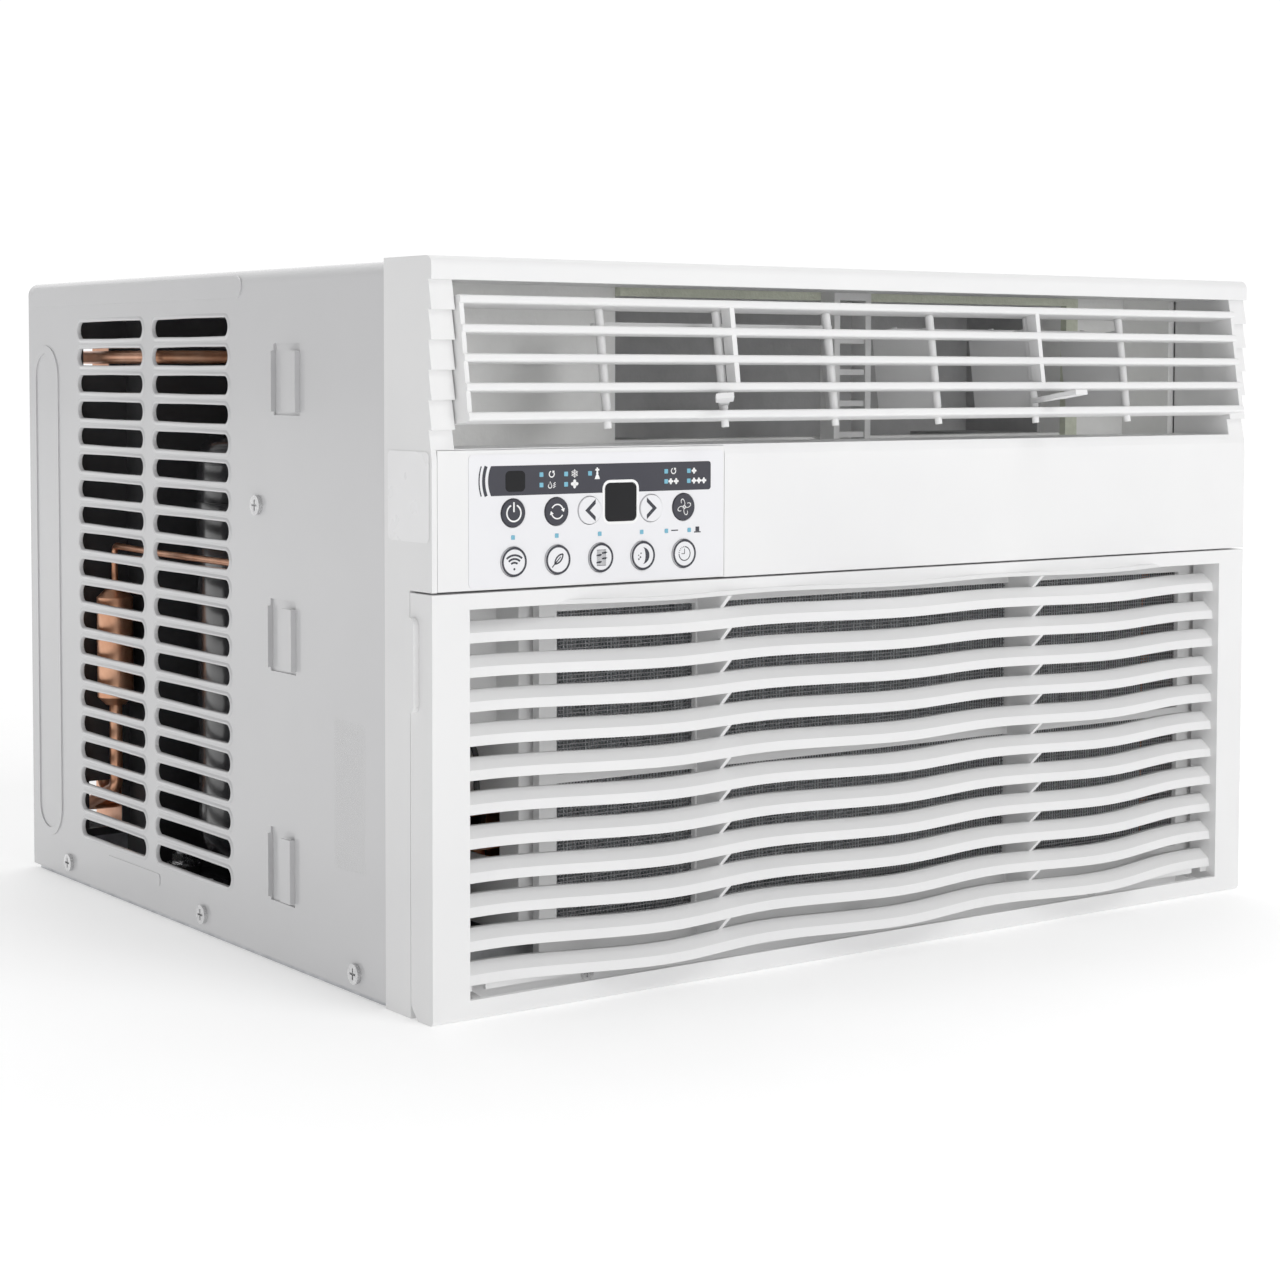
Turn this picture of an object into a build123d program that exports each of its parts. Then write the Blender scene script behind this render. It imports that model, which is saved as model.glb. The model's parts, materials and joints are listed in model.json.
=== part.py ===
from build123d import *
import math
import os

# ---------------------------------------------------------------- overall size
WIDTH = 472.0                 # across the plastic front
HEIGHT = 305.0                # top of the plastic front
DEPTH = 406.0                 # flat front face to the rear edge
FRONT = -DEPTH / 2            # y of the flat front face
HALF_W = WIDTH / 2
FRONT_DEPTH = 37.0            # depth of the plastic front
WALL = 2.5                    # plastic wall
SHEET = 1.0                   # cabinet steel
PAN_SHEET = 1.2               # base pan steel
RUN_FIT = 0.05                # radial clearance of a turning pin
OPEN_FIT = 0.4                # clearance of a loose pin

# ---------------------------------------------------------------- front, upper
BAND_BOTTOM = 172.5           # lower edge of the control band
OUTLET_BOTTOM = 229.0
OUTLET_TOP = 295.6
OUTLET_HALF_W = 225.2
JAMB_DEPTH = 18.0
FACET_PITCH = 11.8
FACET_DEPTH = 2.4
FACET_COUNT = 6

# ---------------------------------------------------------------- intake grille
GRILLE_TOP = 171.6
GRILLE_DEPTH = 16.8
FRAME_STEP = 17.2             # depth at which the front frame starts behind the grille
GRILLE_HALF_OPEN = 218.6
GRILLE_OPEN_TOP = 165.2
GRILLE_SILL = 8.3
BAR_COUNT = 11
BAR_PITCH = 13.82
BAR_FIRST = 13.0              # lower edge of the lowest bar
BAR_SKIN = 2.2
BAR_LOWER_RISE = 4.0
BAR_LOWER_SLOPE = 0.6
BAR_UPPER_RISE = 4.2
BAR_UPPER_SLOPE = 5.4
WAVE = ((0, -11.5), (68, -2.0), (126, -10.5), (200, 4.3), (220, 3.6))
RIB_X = 91.9
GRILLE_PIVOT_DEPTH = 5.0
GRILLE_PIVOT_Z = 5.0
GRILLE_PIN_R = 2.0
LUG_X = 213.0

# ---------------------------------------------------------------- louver
LOUVER_TILT = 8.3
LOUVER_PIVOT_DEPTH = 12.0
LOUVER_PIVOT_Z = 266.0
LOUVER_HALF_W = 224.4
LOUVER_NOSE = -17.6           # bar front edges, measured from the pivot
LOUVER_BARS = (19.9, 8.25, -3.4, -15.05, -26.7)
LOUVER_BAR_H = 3.4
LOUVER_PIN_R = 2.5
VANE_LINE = -7.8              # vane pivots, measured from the louver pivot
VANE_PITCH = 60.8
VANE_CHORD = 39.0
VANE_TOP = 13.0
VANE_FOOT = -23.6
VANE_PIN_R = 1.6
LINK_REACH = 24.0
LINK_PIN_R = 1.2
LEFT_TURN = 36.0              # left vanes stand turned this much

# ---------------------------------------------------------------- air path
AXIS_X = 35.75                # fan shaft
AXIS_Z = 132.0
SHAFT_R = 6.0
EVAP_FRONT = 40.0
EVAP_REAR = 78.0
ORIFICE_FRONT = 80.0
SCROLL_FRONT = 84.0
SCROLL_REAR = 141.0
PARTITION = 142.0
MOTOR_FRONT = 160.0
MOTOR_REAR = 236.0
FAN_FRONT = 298.0
SHROUD = 316.0
COND_FRONT = 348.0
COND_REAR = 392.0

# ---------------------------------------------------------------- compressor
COMP_X = -156.0
COMP_DEPTH = 258.0
COMP_R = 50.0
COMP_FOOT_R = 58.0
ACC_X = -84.0
ACC_DEPTH = 222.0
ACC_R = 20.0

os.makedirs("parts", exist_ok=True)


def depth(mm):
    """y of a point that lies this far behind the flat front face."""
    return FRONT + mm


def face_plane(mm):
    """Upright plane at a depth; positive extrusion comes forward, negative goes back."""
    return Plane.XZ.offset(-depth(mm))


def side_plane(x):
    """Upright plane across the width: local x runs to the rear, local y runs up."""
    return Plane.YZ.offset(x)


def save(builder, name):
    builder.part.label = name
    export_step(builder.part, f"parts/{name}.step")


def slab(x0, x1, d0, d1, z0, z1, mode=Mode.ADD):
    """Box between two widths, two depths and two heights."""
    with Locations((x0, depth(d0), z0)):
        Box(x1 - x0, d1 - d0, z1 - z0, align=(Align.MIN, Align.MIN, Align.MIN), mode=mode)


def tube(points, radius, bend):
    """Round tube along straight runs joined by bends."""
    with BuildLine() as path:
        FilletPolyline(*points, radius=bend)
    with BuildSketch(Plane(origin=path.line @ 0, z_dir=path.line % 0)) as section:
        Circle(radius)
    sweep(section.sketch, path=path.line)


# ================================================================ base pan
SCREW_DEPTHS = (62.5, 205.0, 357.0)
SCREW_Z = 9.4
PAN_HALF_W = 234.0
PAN_FRONT = 38.6
PAN_REAR = 402.6
PAN_WALL_TOP = 22.0
DRAIN_X = 150.0
DRAIN_DEPTH = 365.0
DRAIN_R = 6.5


def comp_feet():
    """Places of the three compressor studs: width, depth and direction from the shell's axis."""
    feet = []
    for angle in (30, 150, 270):
        fx = COMP_X + COMP_FOOT_R * math.cos(math.radians(angle))
        fd = COMP_DEPTH + COMP_FOOT_R * math.sin(math.radians(angle))
        feet.append((fx, fd, angle))
    return feet


with BuildPart() as base_pan:
    slab(-PAN_HALF_W, PAN_HALF_W, PAN_FRONT, PAN_REAR, 0, PAN_WALL_TOP)
    fillet(edges().filter_by(Axis.Z), 5)
    slab(-PAN_HALF_W + PAN_SHEET, PAN_HALF_W - PAN_SHEET, PAN_FRONT + PAN_SHEET,
         PAN_REAR - PAN_SHEET, PAN_SHEET, PAN_WALL_TOP, mode=Mode.SUBTRACT)
    # raised stiffening ribs on the floor
    for rib_depth in (96, 112, 128):
        slab(-160, 210, rib_depth, rib_depth + 6, PAN_SHEET, PAN_SHEET + 3)
    slab(-60, 215, 272, 276, PAN_SHEET, PAN_SHEET + 6)
    # compressor studs
    for foot_x, foot_depth, foot_angle in comp_feet():
        with Locations((foot_x, depth(foot_depth), PAN_SHEET)):
            Cylinder(3.0, 22.0, align=(Align.CENTER, Align.CENTER, Align.MIN))
    # drawn collar round the drain
    with Locations((DRAIN_X, depth(DRAIN_DEPTH), 0)):
        Cylinder(DRAIN_R + 2.0, 6.0, align=(Align.CENTER, Align.CENTER, Align.MIN))
        Cylinder(DRAIN_R, 6.0, align=(Align.CENTER, Align.CENTER, Align.MIN), mode=Mode.SUBTRACT)
    # cabinet screw holes
    with BuildSketch(side_plane(-HALF_W)):
        with Locations(*[(depth(d), SCREW_Z) for d in SCREW_DEPTHS]):
            Circle(1.8)
    extrude(amount=WIDTH, mode=Mode.SUBTRACT)
    # front frame screw holes
    with BuildSketch(face_plane(PAN_FRONT)):
        with Locations((-150, 7.0), (150, 7.0)):
            Circle(1.8)
    extrude(amount=-PAN_SHEET, mode=Mode.SUBTRACT)
save(base_pan, "base_pan")

# ================================================================ cabinet wrapper
WRAP_HALF_W = 235.4
WRAP_FRONT = 37.2
WRAP_REAR = 404.0
WRAP_BOTTOM = 2.0
WRAP_TOP = 304.0
ROOF_SEAM = 296.5
SLOT_ROWS = 20
SLOT_PITCH = 13.09
SLOT_TOP = 279.2
SLOT_H = 8.7
SLOT_COLUMNS = ((176.1, 254.7), (265.5, 341.2))
TAB_WINDOWS = ((109.4, 133.0, 240.5, 271.4), (114.0, 137.0, 128.9, 160.5), (116.0, 138.0, 27.8, 60.3))
TAB_OUT = 2.4
MID_SCREW = (148.5, 200.7)
EMBOSS = 0.6
CORD_DEPTH = 62.0
CORD_Z = 42.0
RAIL_HOLES_X = (-180, -60, 60, 180)
RAIL_DEPTH = 118.0

with BuildPart() as cabinet_wrapper:
    # bent steel: outer block with round roof corners, less the space inside
    for half_w, top, corner, mode in ((WRAP_HALF_W, WRAP_TOP, 6, Mode.ADD),
                                      (WRAP_HALF_W - SHEET, WRAP_TOP - SHEET, 5, Mode.SUBTRACT)):
        with BuildSketch(face_plane(WRAP_FRONT)):
            with Locations((0, WRAP_BOTTOM)):
                Rectangle(2 * half_w, top - WRAP_BOTTOM, align=(Align.CENTER, Align.MIN))
            fillet(vertices().group_by(Axis.Y)[-1], corner)
        extrude(amount=-(WRAP_REAR - WRAP_FRONT), mode=mode)
    # inward flanges at the front and the rear edge
    for flange_depth, flange_in in ((WRAP_FRONT, 8.0), (WRAP_REAR - SHEET, 14.0)):
        with BuildSketch(face_plane(flange_depth)):
            with Locations((0, PAN_WALL_TOP + 2)):
                Rectangle(2 * WRAP_HALF_W - 1, WRAP_TOP - PAN_WALL_TOP - 2.5,
                          align=(Align.CENTER, Align.MIN))
            fillet(vertices().group_by(Axis.Y)[-1], 5)
            with Locations((0, WRAP_BOTTOM)):
                Rectangle(2 * (WRAP_HALF_W - flange_in), WRAP_TOP - flange_in / 2 - WRAP_BOTTOM,
                          align=(Align.CENTER, Align.MIN), mode=Mode.SUBTRACT)
        extrude(amount=-SHEET)
    # cooling slots in both sides
    slot_points = []
    for first, last in SLOT_COLUMNS:
        for row in range(SLOT_ROWS):
            slot_points.append((depth((first + last) / 2), SLOT_TOP - row * SLOT_PITCH))
    with BuildSketch(side_plane(-HALF_W)):
        with Locations(*slot_points):
            SlotOverall(SLOT_COLUMNS[0][1] - SLOT_COLUMNS[0][0], SLOT_H)
    extrude(amount=WIDTH, mode=Mode.SUBTRACT)
    # embossed stiffening: top ridge, tall rib outline, low panel
    for side in (-1, 1):
        with BuildSketch(side_plane(side * WRAP_HALF_W)):
            with Locations((depth(280.3), 296.6)):
                SlotOverall(235.4, 9.5)
            with Locations((depth(382), 146)):
                SlotOverall(252, 32, rotation=90)
                SlotOverall(244, 24, rotation=90, mode=Mode.SUBTRACT)
        extrude(amount=side * EMBOSS)
        with BuildSketch(side_plane(side * WRAP_HALF_W)):
            with Locations((depth(281), 17.5)):
                RectangleRounded(60, 6, 2)
        extrude(amount=side * EMBOSS / 2)
    # lanced curtain tabs: window, strip bent outwards at its front edge
    for tab_front, tab_rear, tab_bottom, tab_top in TAB_WINDOWS:
        slab(-HALF_W, HALF_W, tab_front, tab_rear, tab_bottom, tab_top, mode=Mode.SUBTRACT)
        for side in (-1, 1):
            # pressed pocket floor behind the window
            slab(min(side * (WRAP_HALF_W - SHEET), side * (WRAP_HALF_W - 2 * SHEET)),
                 max(side * (WRAP_HALF_W - SHEET), side * (WRAP_HALF_W - 2 * SHEET)),
                 tab_front - 1.5, tab_rear + 1.5, tab_bottom - 1.5, tab_top + 1.5)
            # short flange at the rear edge of the window
            slab(min(side * (WRAP_HALF_W - SHEET), side * (WRAP_HALF_W + 1.4)),
                 max(side * (WRAP_HALF_W - SHEET), side * (WRAP_HALF_W + 1.4)),
                 tab_rear, tab_rear + 1.0, tab_bottom + 1.5, tab_top - 3.2)
            with BuildSketch(Plane.XY.offset(tab_bottom + 1.5)):
                with Locations((side * (WRAP_HALF_W - SHEET), depth(tab_front))):
                    Rectangle(SHEET + TAB_OUT, 1.2,
                              align=(Align.MIN if side > 0 else Align.MAX, Align.MIN))
                with Locations((side * (WRAP_HALF_W + TAB_OUT), depth(tab_front))):
                    Rectangle(1.2, 9, align=(Align.MAX if side > 0 else Align.MIN, Align.MIN))
            extrude(amount=tab_top - tab_bottom - 4.7)
    # screw holes, rail holes in the roof and the cord hole
    with BuildSketch(side_plane(-HALF_W)):
        with Locations(*[(depth(d), SCREW_Z) for d in SCREW_DEPTHS]):
            Circle(2.0)
        with Locations((depth(MID_SCREW[0]), MID_SCREW[1])):
            Circle(2.0)
    extrude(amount=WIDTH, mode=Mode.SUBTRACT)
    with BuildSketch(Plane.XY.offset(WRAP_TOP - SHEET)):
        with Locations(*[(x, depth(RAIL_DEPTH)) for x in RAIL_HOLES_X]):
            Circle(2.1)
    extrude(amount=SHEET, mode=Mode.SUBTRACT)
    with BuildSketch(side_plane(WRAP_HALF_W - SHEET)):
        with Locations((depth(CORD_DEPTH), CORD_Z)):
            Circle(7.0)
    extrude(amount=SHEET, mode=Mode.SUBTRACT)
    with BuildSketch(face_plane(WRAP_FRONT)):
        with Locations((-230.5, 30), (-230.5, 150)):
            Circle(1.8)
    extrude(amount=-SHEET, mode=Mode.SUBTRACT)
    # the roof and the two side sheets are seamed just under the roof
    split(bisect_by=Plane.XY.offset(ROOF_SEAM), keep=Keep.BOTH)
save(cabinet_wrapper, "cabinet_wrapper")


def side_screw(side, screw_depth, z, skin):
    """Pan head screw lying across a side wall, cross recess in the head."""
    with BuildSketch(side_plane(side * skin)) as washer:
        with Locations((depth(screw_depth), z)):
            Circle(4.35)
    extrude(washer.sketch, amount=side * 0.6)
    with BuildSketch(side_plane(side * (skin + 0.6))) as head:
        with Locations((depth(screw_depth), z)):
            Circle(4.35)
            Rectangle(5, 0.9, mode=Mode.SUBTRACT)
            Rectangle(0.9, 5, mode=Mode.SUBTRACT)
    extrude(head.sketch, amount=side * 1.2)
    with BuildSketch(side_plane(side * (skin - 6))) as shank:
        with Locations((depth(screw_depth), z)):
            Circle(1.6)
    extrude(shank.sketch, amount=side * 6)


with BuildPart() as cabinet_screws:
    for side in (-1, 1):
        for screw_depth in SCREW_DEPTHS:
            side_screw(side, screw_depth, SCREW_Z, WRAP_HALF_W)
        side_screw(side, MID_SCREW[0], MID_SCREW[1], WRAP_HALF_W)
save(cabinet_screws, "cabinet_screws")

# ================================================================ front frame
PANEL_LEFT = -233.4
PANEL_RIGHT = -91.7
PANEL_SKIN = 3.2
SHELF = 2.5
SCREW_HEAD_R = 3.3
FRAME_SCREWS = ((-150, 7.0), (150, 7.0), (-230.5, 30), (-230.5, 150))

with BuildPart() as front_frame:
    # upper body, hollow from the rear
    slab(-HALF_W, HALF_W, 0, FRONT_DEPTH, BAND_BOTTOM, HEIGHT)
    fillet(edges().filter_by(Axis.X).group_by(Axis.Z)[-1].sort_by(Axis.Y)[0], 4)
    slab(-HALF_W + WALL, HALF_W - WALL, WALL, FRONT_DEPTH, BAND_BOTTOM + WALL, OUTLET_BOTTOM - SHELF,
         mode=Mode.SUBTRACT)
    slab(-OUTLET_HALF_W, OUTLET_HALF_W, 0, FRONT_DEPTH, OUTLET_BOTTOM, OUTLET_TOP, mode=Mode.SUBTRACT)
    # hollow behind the jambs and the head
    for side in (-1, 1):
        low = min(side * (OUTLET_HALF_W + WALL), side * (HALF_W - WALL))
        high = max(side * (OUTLET_HALF_W + WALL), side * (HALF_W - WALL))
        slab(low, high, JAMB_DEPTH, FRONT_DEPTH, OUTLET_BOTTOM, OUTLET_TOP, mode=Mode.SUBTRACT)
    slab(-HALF_W + WALL, HALF_W - WALL, WALL + 2, FRONT_DEPTH, OUTLET_TOP + 2, HEIGHT - WALL,
         mode=Mode.SUBTRACT)
    # stepped facets of the jambs, like lapped boards
    for facet in range(FACET_COUNT):
        facet_bottom = OUTLET_TOP - (facet + 1) * FACET_PITCH
        with BuildSketch(side_plane(-HALF_W)):
            with BuildLine():
                Polyline((depth(0), facet_bottom), (depth(0), facet_bottom + FACET_PITCH),
                         (depth(FACET_DEPTH), facet_bottom + FACET_PITCH), close=True)
            make_face()
        extrude(amount=WIDTH, mode=Mode.SUBTRACT)
    # pocket for the control panel
    slab(PANEL_LEFT - 0.2, PANEL_RIGHT + 0.3, 0, PANEL_SKIN, BAND_BOTTOM, OUTLET_BOTTOM - 0.4,
         mode=Mode.SUBTRACT)
    # lower body behind the grille
    slab(-HALF_W, -HALF_W + WALL, FRAME_STEP, FRONT_DEPTH, 0, BAND_BOTTOM)
    slab(HALF_W - WALL, HALF_W, FRAME_STEP, FRONT_DEPTH, 0, BAND_BOTTOM)
    slab(-HALF_W, HALF_W, FRAME_STEP, FRONT_DEPTH, 0, WALL)
    slab(-HALF_W, -219.5, FRAME_STEP, FRAME_STEP + WALL, 0, BAND_BOTTOM)
    slab(-HALF_W, HALF_W, FRAME_STEP, FRAME_STEP + WALL, 0, 11)
    # grille hinge lugs with outward pins
    for side in (-1, 1):
        with BuildSketch(side_plane(side * LUG_X)):
            with BuildLine():
                Polyline((depth(GRILLE_PIVOT_DEPTH), GRILLE_PIVOT_Z - 1.9), (depth(FRAME_STEP + 1), 2.8),
                         (depth(FRAME_STEP + 1), 8.5), (depth(GRILLE_PIVOT_DEPTH), GRILLE_PIVOT_Z + 1.9),
                         close=True)
            make_face()
            with Locations((depth(GRILLE_PIVOT_DEPTH), GRILLE_PIVOT_Z)):
                Circle(2.1)
        extrude(amount=-side * 4)
        with BuildSketch(side_plane(side * LUG_X)):
            with Locations((depth(GRILLE_PIVOT_DEPTH), GRILLE_PIVOT_Z)):
                Circle(GRILLE_PIN_R)
        extrude(amount=side * 8.5)
        # pivot holes for the louver frame
        with BuildSketch(side_plane(side * OUTLET_HALF_W)):
            with Locations((depth(LOUVER_PIVOT_DEPTH), LOUVER_PIVOT_Z)):
                Circle(LOUVER_PIN_R + RUN_FIT)
        extrude(amount=side * 6.5, mode=Mode.SUBTRACT)
    # screw bosses with sunk heads
    with BuildSketch(face_plane(FRAME_STEP)):
        with Locations(*FRAME_SCREWS):
            Circle(4.8)
    extrude(amount=-(FRONT_DEPTH - FRAME_STEP))
    with BuildSketch(face_plane(FRAME_STEP)):
        with Locations(*FRAME_SCREWS):
            Circle(SCREW_HEAD_R + 0.1)
    extrude(amount=-1.6, mode=Mode.SUBTRACT)
    with BuildSketch(face_plane(FRAME_STEP)):
        with Locations(*FRAME_SCREWS):
            Circle(1.8)
    extrude(amount=-(FRONT_DEPTH - FRAME_STEP), mode=Mode.SUBTRACT)
save(front_frame, "front_frame")

with BuildPart() as front_frame_screws:
    with BuildSketch(face_plane(FRAME_STEP)):
        with Locations(*FRAME_SCREWS):
            Circle(SCREW_HEAD_R)
            Rectangle(4, 0.8, mode=Mode.SUBTRACT)
            Rectangle(0.8, 4, mode=Mode.SUBTRACT)
    extrude(amount=-0.8)
    with BuildSketch(face_plane(FRAME_STEP + 0.8)):
        with Locations(*FRAME_SCREWS):
            Circle(SCREW_HEAD_R)
    extrude(amount=-0.8)
    with BuildSketch(face_plane(FRAME_STEP + 1.6)):
        with Locations(*FRAME_SCREWS):
            Circle(1.6)
    extrude(amount=-23)
save(front_frame_screws, "front_frame_screws")

# ================================================================ intake grille
GRIP_BOTTOM = 124.0
GRIP_TOP = 162.0


def wave_strip(thickness):
    """Plan outline of one bar: a wave in depth, mirrored about the middle."""
    half = [(x, depth(y)) for x, y in WAVE]
    front = [(-x, y) for x, y in reversed(half)] + half[1:]
    rear = [(x, y + thickness) for x, y in reversed(front)]
    with BuildLine() as outline:
        Spline(*front)
        Line(front[-1], rear[0])
        Spline(*rear)
        Line(rear[-1], front[0])
    make_face(outline.edges())


def wave_at(x):
    """Depth of the bar front at a rib, read from the wave's points by a half cosine."""
    for (x0, y0), (x1, y1) in zip(WAVE, WAVE[1:]):
        if x0 <= abs(x) <= x1:
            part = (1 - math.cos(math.pi * (abs(x) - x0) / (x1 - x0))) / 2
            return y0 + (y1 - y0) * part
    return WAVE[-1][1]


with BuildPart() as intake_grille:
    bar_bottoms = [BAR_FIRST + row * BAR_PITCH for row in range(BAR_COUNT)]
    bar_rise = BAR_LOWER_RISE + BAR_UPPER_RISE
    # each bar is two leaning strips: an almost upright face and a face leaning back
    with BuildSketch(*[Plane.XY.offset(z) for z in bar_bottoms]):
        wave_strip(BAR_SKIN)
    extrude(amount=math.hypot(BAR_LOWER_SLOPE, BAR_LOWER_RISE),
            dir=(0, BAR_LOWER_SLOPE, BAR_LOWER_RISE))
    with BuildSketch(*[Plane((0, BAR_LOWER_SLOPE, z + BAR_LOWER_RISE)) for z in bar_bottoms]):
        wave_strip(BAR_SKIN)
    extrude(amount=math.hypot(BAR_UPPER_SLOPE, BAR_UPPER_RISE),
            dir=(0, BAR_UPPER_SLOPE, BAR_UPPER_RISE))
    # ledge of the wave where the top rail starts
    with BuildSketch(Plane.XY.offset(GRILLE_OPEN_TOP)):
        wave_strip(BAR_SKIN)
    extrude(amount=math.hypot(1.2, 1.6), dir=(0, 1.2, 1.6))
    # frame round the opening
    with BuildSketch(face_plane(0)):
        with Locations((0, 0)):
            Rectangle(WIDTH, GRILLE_TOP, align=(Align.CENTER, Align.MIN))
        with Locations((0, GRILLE_SILL)):
            Rectangle(2 * GRILLE_HALF_OPEN, GRILLE_OPEN_TOP - GRILLE_SILL,
                      align=(Align.CENTER, Align.MIN), mode=Mode.SUBTRACT)
    extrude(amount=-WALL)
    # side cheeks, inner cheeks, top rail
    for side in (-1, 1):
        for outer, inner in ((HALF_W, HALF_W - WALL), (GRILLE_HALF_OPEN + WALL, GRILLE_HALF_OPEN)):
            slab(min(side * outer, side * inner), max(side * outer, side * inner), 0, GRILLE_DEPTH,
                 0, GRILLE_TOP)
    slab(-HALF_W, HALF_W, 0, GRILLE_DEPTH, GRILLE_TOP - WALL, GRILLE_TOP)
    # dark floor strip behind the gap over the sill
    slab(-GRILLE_HALF_OPEN, GRILLE_HALF_OPEN, 5.6, 7.4, 10.4, BAR_FIRST + 2)
    # upright ribs that tie the bars together
    for side in (-1, 1):
        rib_front = wave_at(RIB_X)
        slab(side * RIB_X - 1, side * RIB_X + 1, rib_front + BAR_LOWER_SLOPE + BAR_UPPER_SLOPE + 1,
             GRILLE_DEPTH, BAR_FIRST, GRILLE_TOP - WALL)
        for z in bar_bottoms:
            with BuildSketch(side_plane(side * RIB_X - 1)):
                with BuildLine():
                    Polyline((depth(rib_front + 6.0), z + bar_rise), (depth(rib_front), z + BAR_PITCH),
                             (depth(rib_front + 9), z + BAR_PITCH), (depth(rib_front + 9), z + bar_rise),
                             close=True)
                make_face()
            extrude(amount=2)
    # finger grips on the cheeks
    for side in (-1, 1):
        with BuildSketch(side_plane(side * HALF_W)):
            with Locations((depth(GRILLE_DEPTH - 3.4), (GRIP_BOTTOM + GRIP_TOP) / 2)):
                SlotOverall(GRIP_TOP - GRIP_BOTTOM, 6.4, rotation=90)
        extrude(amount=side * 2.4)
    # rails that carry the filter
    for rail_x in (-150, 0, 190):
        slab(rail_x - 7, rail_x + 7, WALL, 26.0, 166.0, 167.4)
        slab(rail_x - 7, rail_x + 7, 24.6, 26.0, 162.4, 166.0)
        slab(rail_x - 7, rail_x + 7, 6.5, 26.0, 12.4, 13.8)
        slab(rail_x - 7, rail_x + 7, 24.6, 26.0, 13.8, 17.4)
    # clearance for the hinge lugs, and the swing of the lower edges
    for side in (-1, 1):
        slab(side * (LUG_X - 2) - 3.2, side * (LUG_X - 2) + 3.2, WALL, GRILLE_DEPTH + 1, 0, 12.6,
             mode=Mode.SUBTRACT)
    with BuildSketch(side_plane(-HALF_W - 5)):
        with BuildLine():
            Polyline((depth(GRILLE_DEPTH - 6), -1), (depth(GRILLE_DEPTH + 1), -1),
                     (depth(GRILLE_DEPTH + 1), 7), close=True)
        make_face()
    extrude(amount=WIDTH + 10, mode=Mode.SUBTRACT)
    lower_front = edges().filter_by(Axis.X).group_by(Axis.Z)[0].sort_by(Axis.Y)[0]
    fillet(lower_front, 2.2)
    # hinge holes in the lug side of the inner cheeks
    with BuildSketch(side_plane(-HALF_W + WALL + 0.5)):
        with Locations((depth(GRILLE_PIVOT_DEPTH), GRILLE_PIVOT_Z)):
            Circle(GRILLE_PIN_R + RUN_FIT)
    extrude(amount=WIDTH - 2 * WALL - 1, mode=Mode.SUBTRACT)
save(intake_grille, "intake_grille")

# ================================================================ filter
FILTER_LEFT = -172.7
FILTER_RIGHT = 222.0
FILTER_BOTTOM = 14.0
FILTER_TOP = 165.8
FILTER_FRONT = 19.6
FILTER_THICK = 4.8
FILTER_WINDOWS_X = ((-163.8, -91.8), (-84.8, 94.0), (99.6, 211.0))
FILTER_WINDOWS_Z = ((22.0, 88.0), (92.0, 160.0))

with BuildPart() as filter_frame:
    slab(FILTER_LEFT, FILTER_RIGHT, FILTER_FRONT, FILTER_FRONT + FILTER_THICK, FILTER_BOTTOM, FILTER_TOP)
    for win_left, win_right in FILTER_WINDOWS_X:
        for win_bottom, win_top in FILTER_WINDOWS_Z:
            slab(win_left, win_right, FILTER_FRONT, FILTER_FRONT + FILTER_THICK, win_bottom, win_top,
                 mode=Mode.SUBTRACT)
    slab(FILTER_LEFT + 3, FILTER_RIGHT - 3, FILTER_FRONT + 3, FILTER_FRONT + FILTER_THICK,
         FILTER_BOTTOM + 4, FILTER_TOP - 4, mode=Mode.SUBTRACT)
save(filter_frame, "filter_frame")

with BuildPart() as filter_mesh:
    slab(FILTER_LEFT + 3, FILTER_RIGHT - 3, FILTER_FRONT + 3, FILTER_FRONT + 4,
         FILTER_BOTTOM + 4, FILTER_TOP - 4)
save(filter_mesh, "filter_mesh")

# ================================================================ controls
OVERLAY = (-219.2, -92.3, 173.4, 226.6)
OVERLAY_SKIN = 0.3
BUTTON_TRAVEL = 0.6
BUTTON_FIT = 0.35
DISC_R = 5.6
RING_R = 5.9
UPPER_ROW_Z = 203.0
LOWER_ROW_Z = 183.4
BUTTONS = (
    ("button_power", -198.4, UPPER_ROW_Z, DISC_R),
    ("button_mode", -177.5, UPPER_ROW_Z, DISC_R),
    ("button_down", -161.2, UPPER_ROW_Z, DISC_R),
    ("button_up", -130.2, UPPER_ROW_Z, DISC_R),
    ("button_fan", -113.4, UPPER_ROW_Z, DISC_R),
    ("button_wireless", -198.2, LOWER_ROW_Z, RING_R),
    ("button_eco", -177.0, LOWER_ROW_Z, RING_R),
    ("button_filter", -155.7, LOWER_ROW_Z, RING_R),
    ("button_sleep", -134.5, LOWER_ROW_Z, RING_R),
    ("button_timer", -113.2, LOWER_ROW_Z, RING_R),
)
LENS_R = 0.95
LENS_SPOTS = (
    (-198.4, 193.2), (-177.3, 193.2), (-156.1, 193.2), (-134.9, 193.2), (-122.2, 193.2), (-110.3, 193.2),
    (-184.8, 218.1), (-184.8, 213.9), (-172.8, 218.1), (-172.8, 213.9), (-161.0, 218.1),
    (-122.4, 218.1), (-122.4, 213.9), (-110.6, 218.1), (-110.6, 213.9),
)
DISPLAY = (-145.6, 206.0, 16.0, 16.0)
RECEIVER = (-197.3, 215.7, 9.4, 8.4)


def control_holes():
    """Outlines of every opening that runs through the overlay and the panel."""
    for _, x, z, radius in BUTTONS:
        with Locations((x, z)):
            Circle(radius + BUTTON_FIT, mode=Mode.SUBTRACT)
    with Locations(*LENS_SPOTS):
        Circle(LENS_R + 0.05, mode=Mode.SUBTRACT)
    for x, z, w, h in (DISPLAY, RECEIVER):
        with Locations((x, z)):
            RectangleRounded(w + 0.1, h + 0.1, 2.0, mode=Mode.SUBTRACT)


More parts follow.
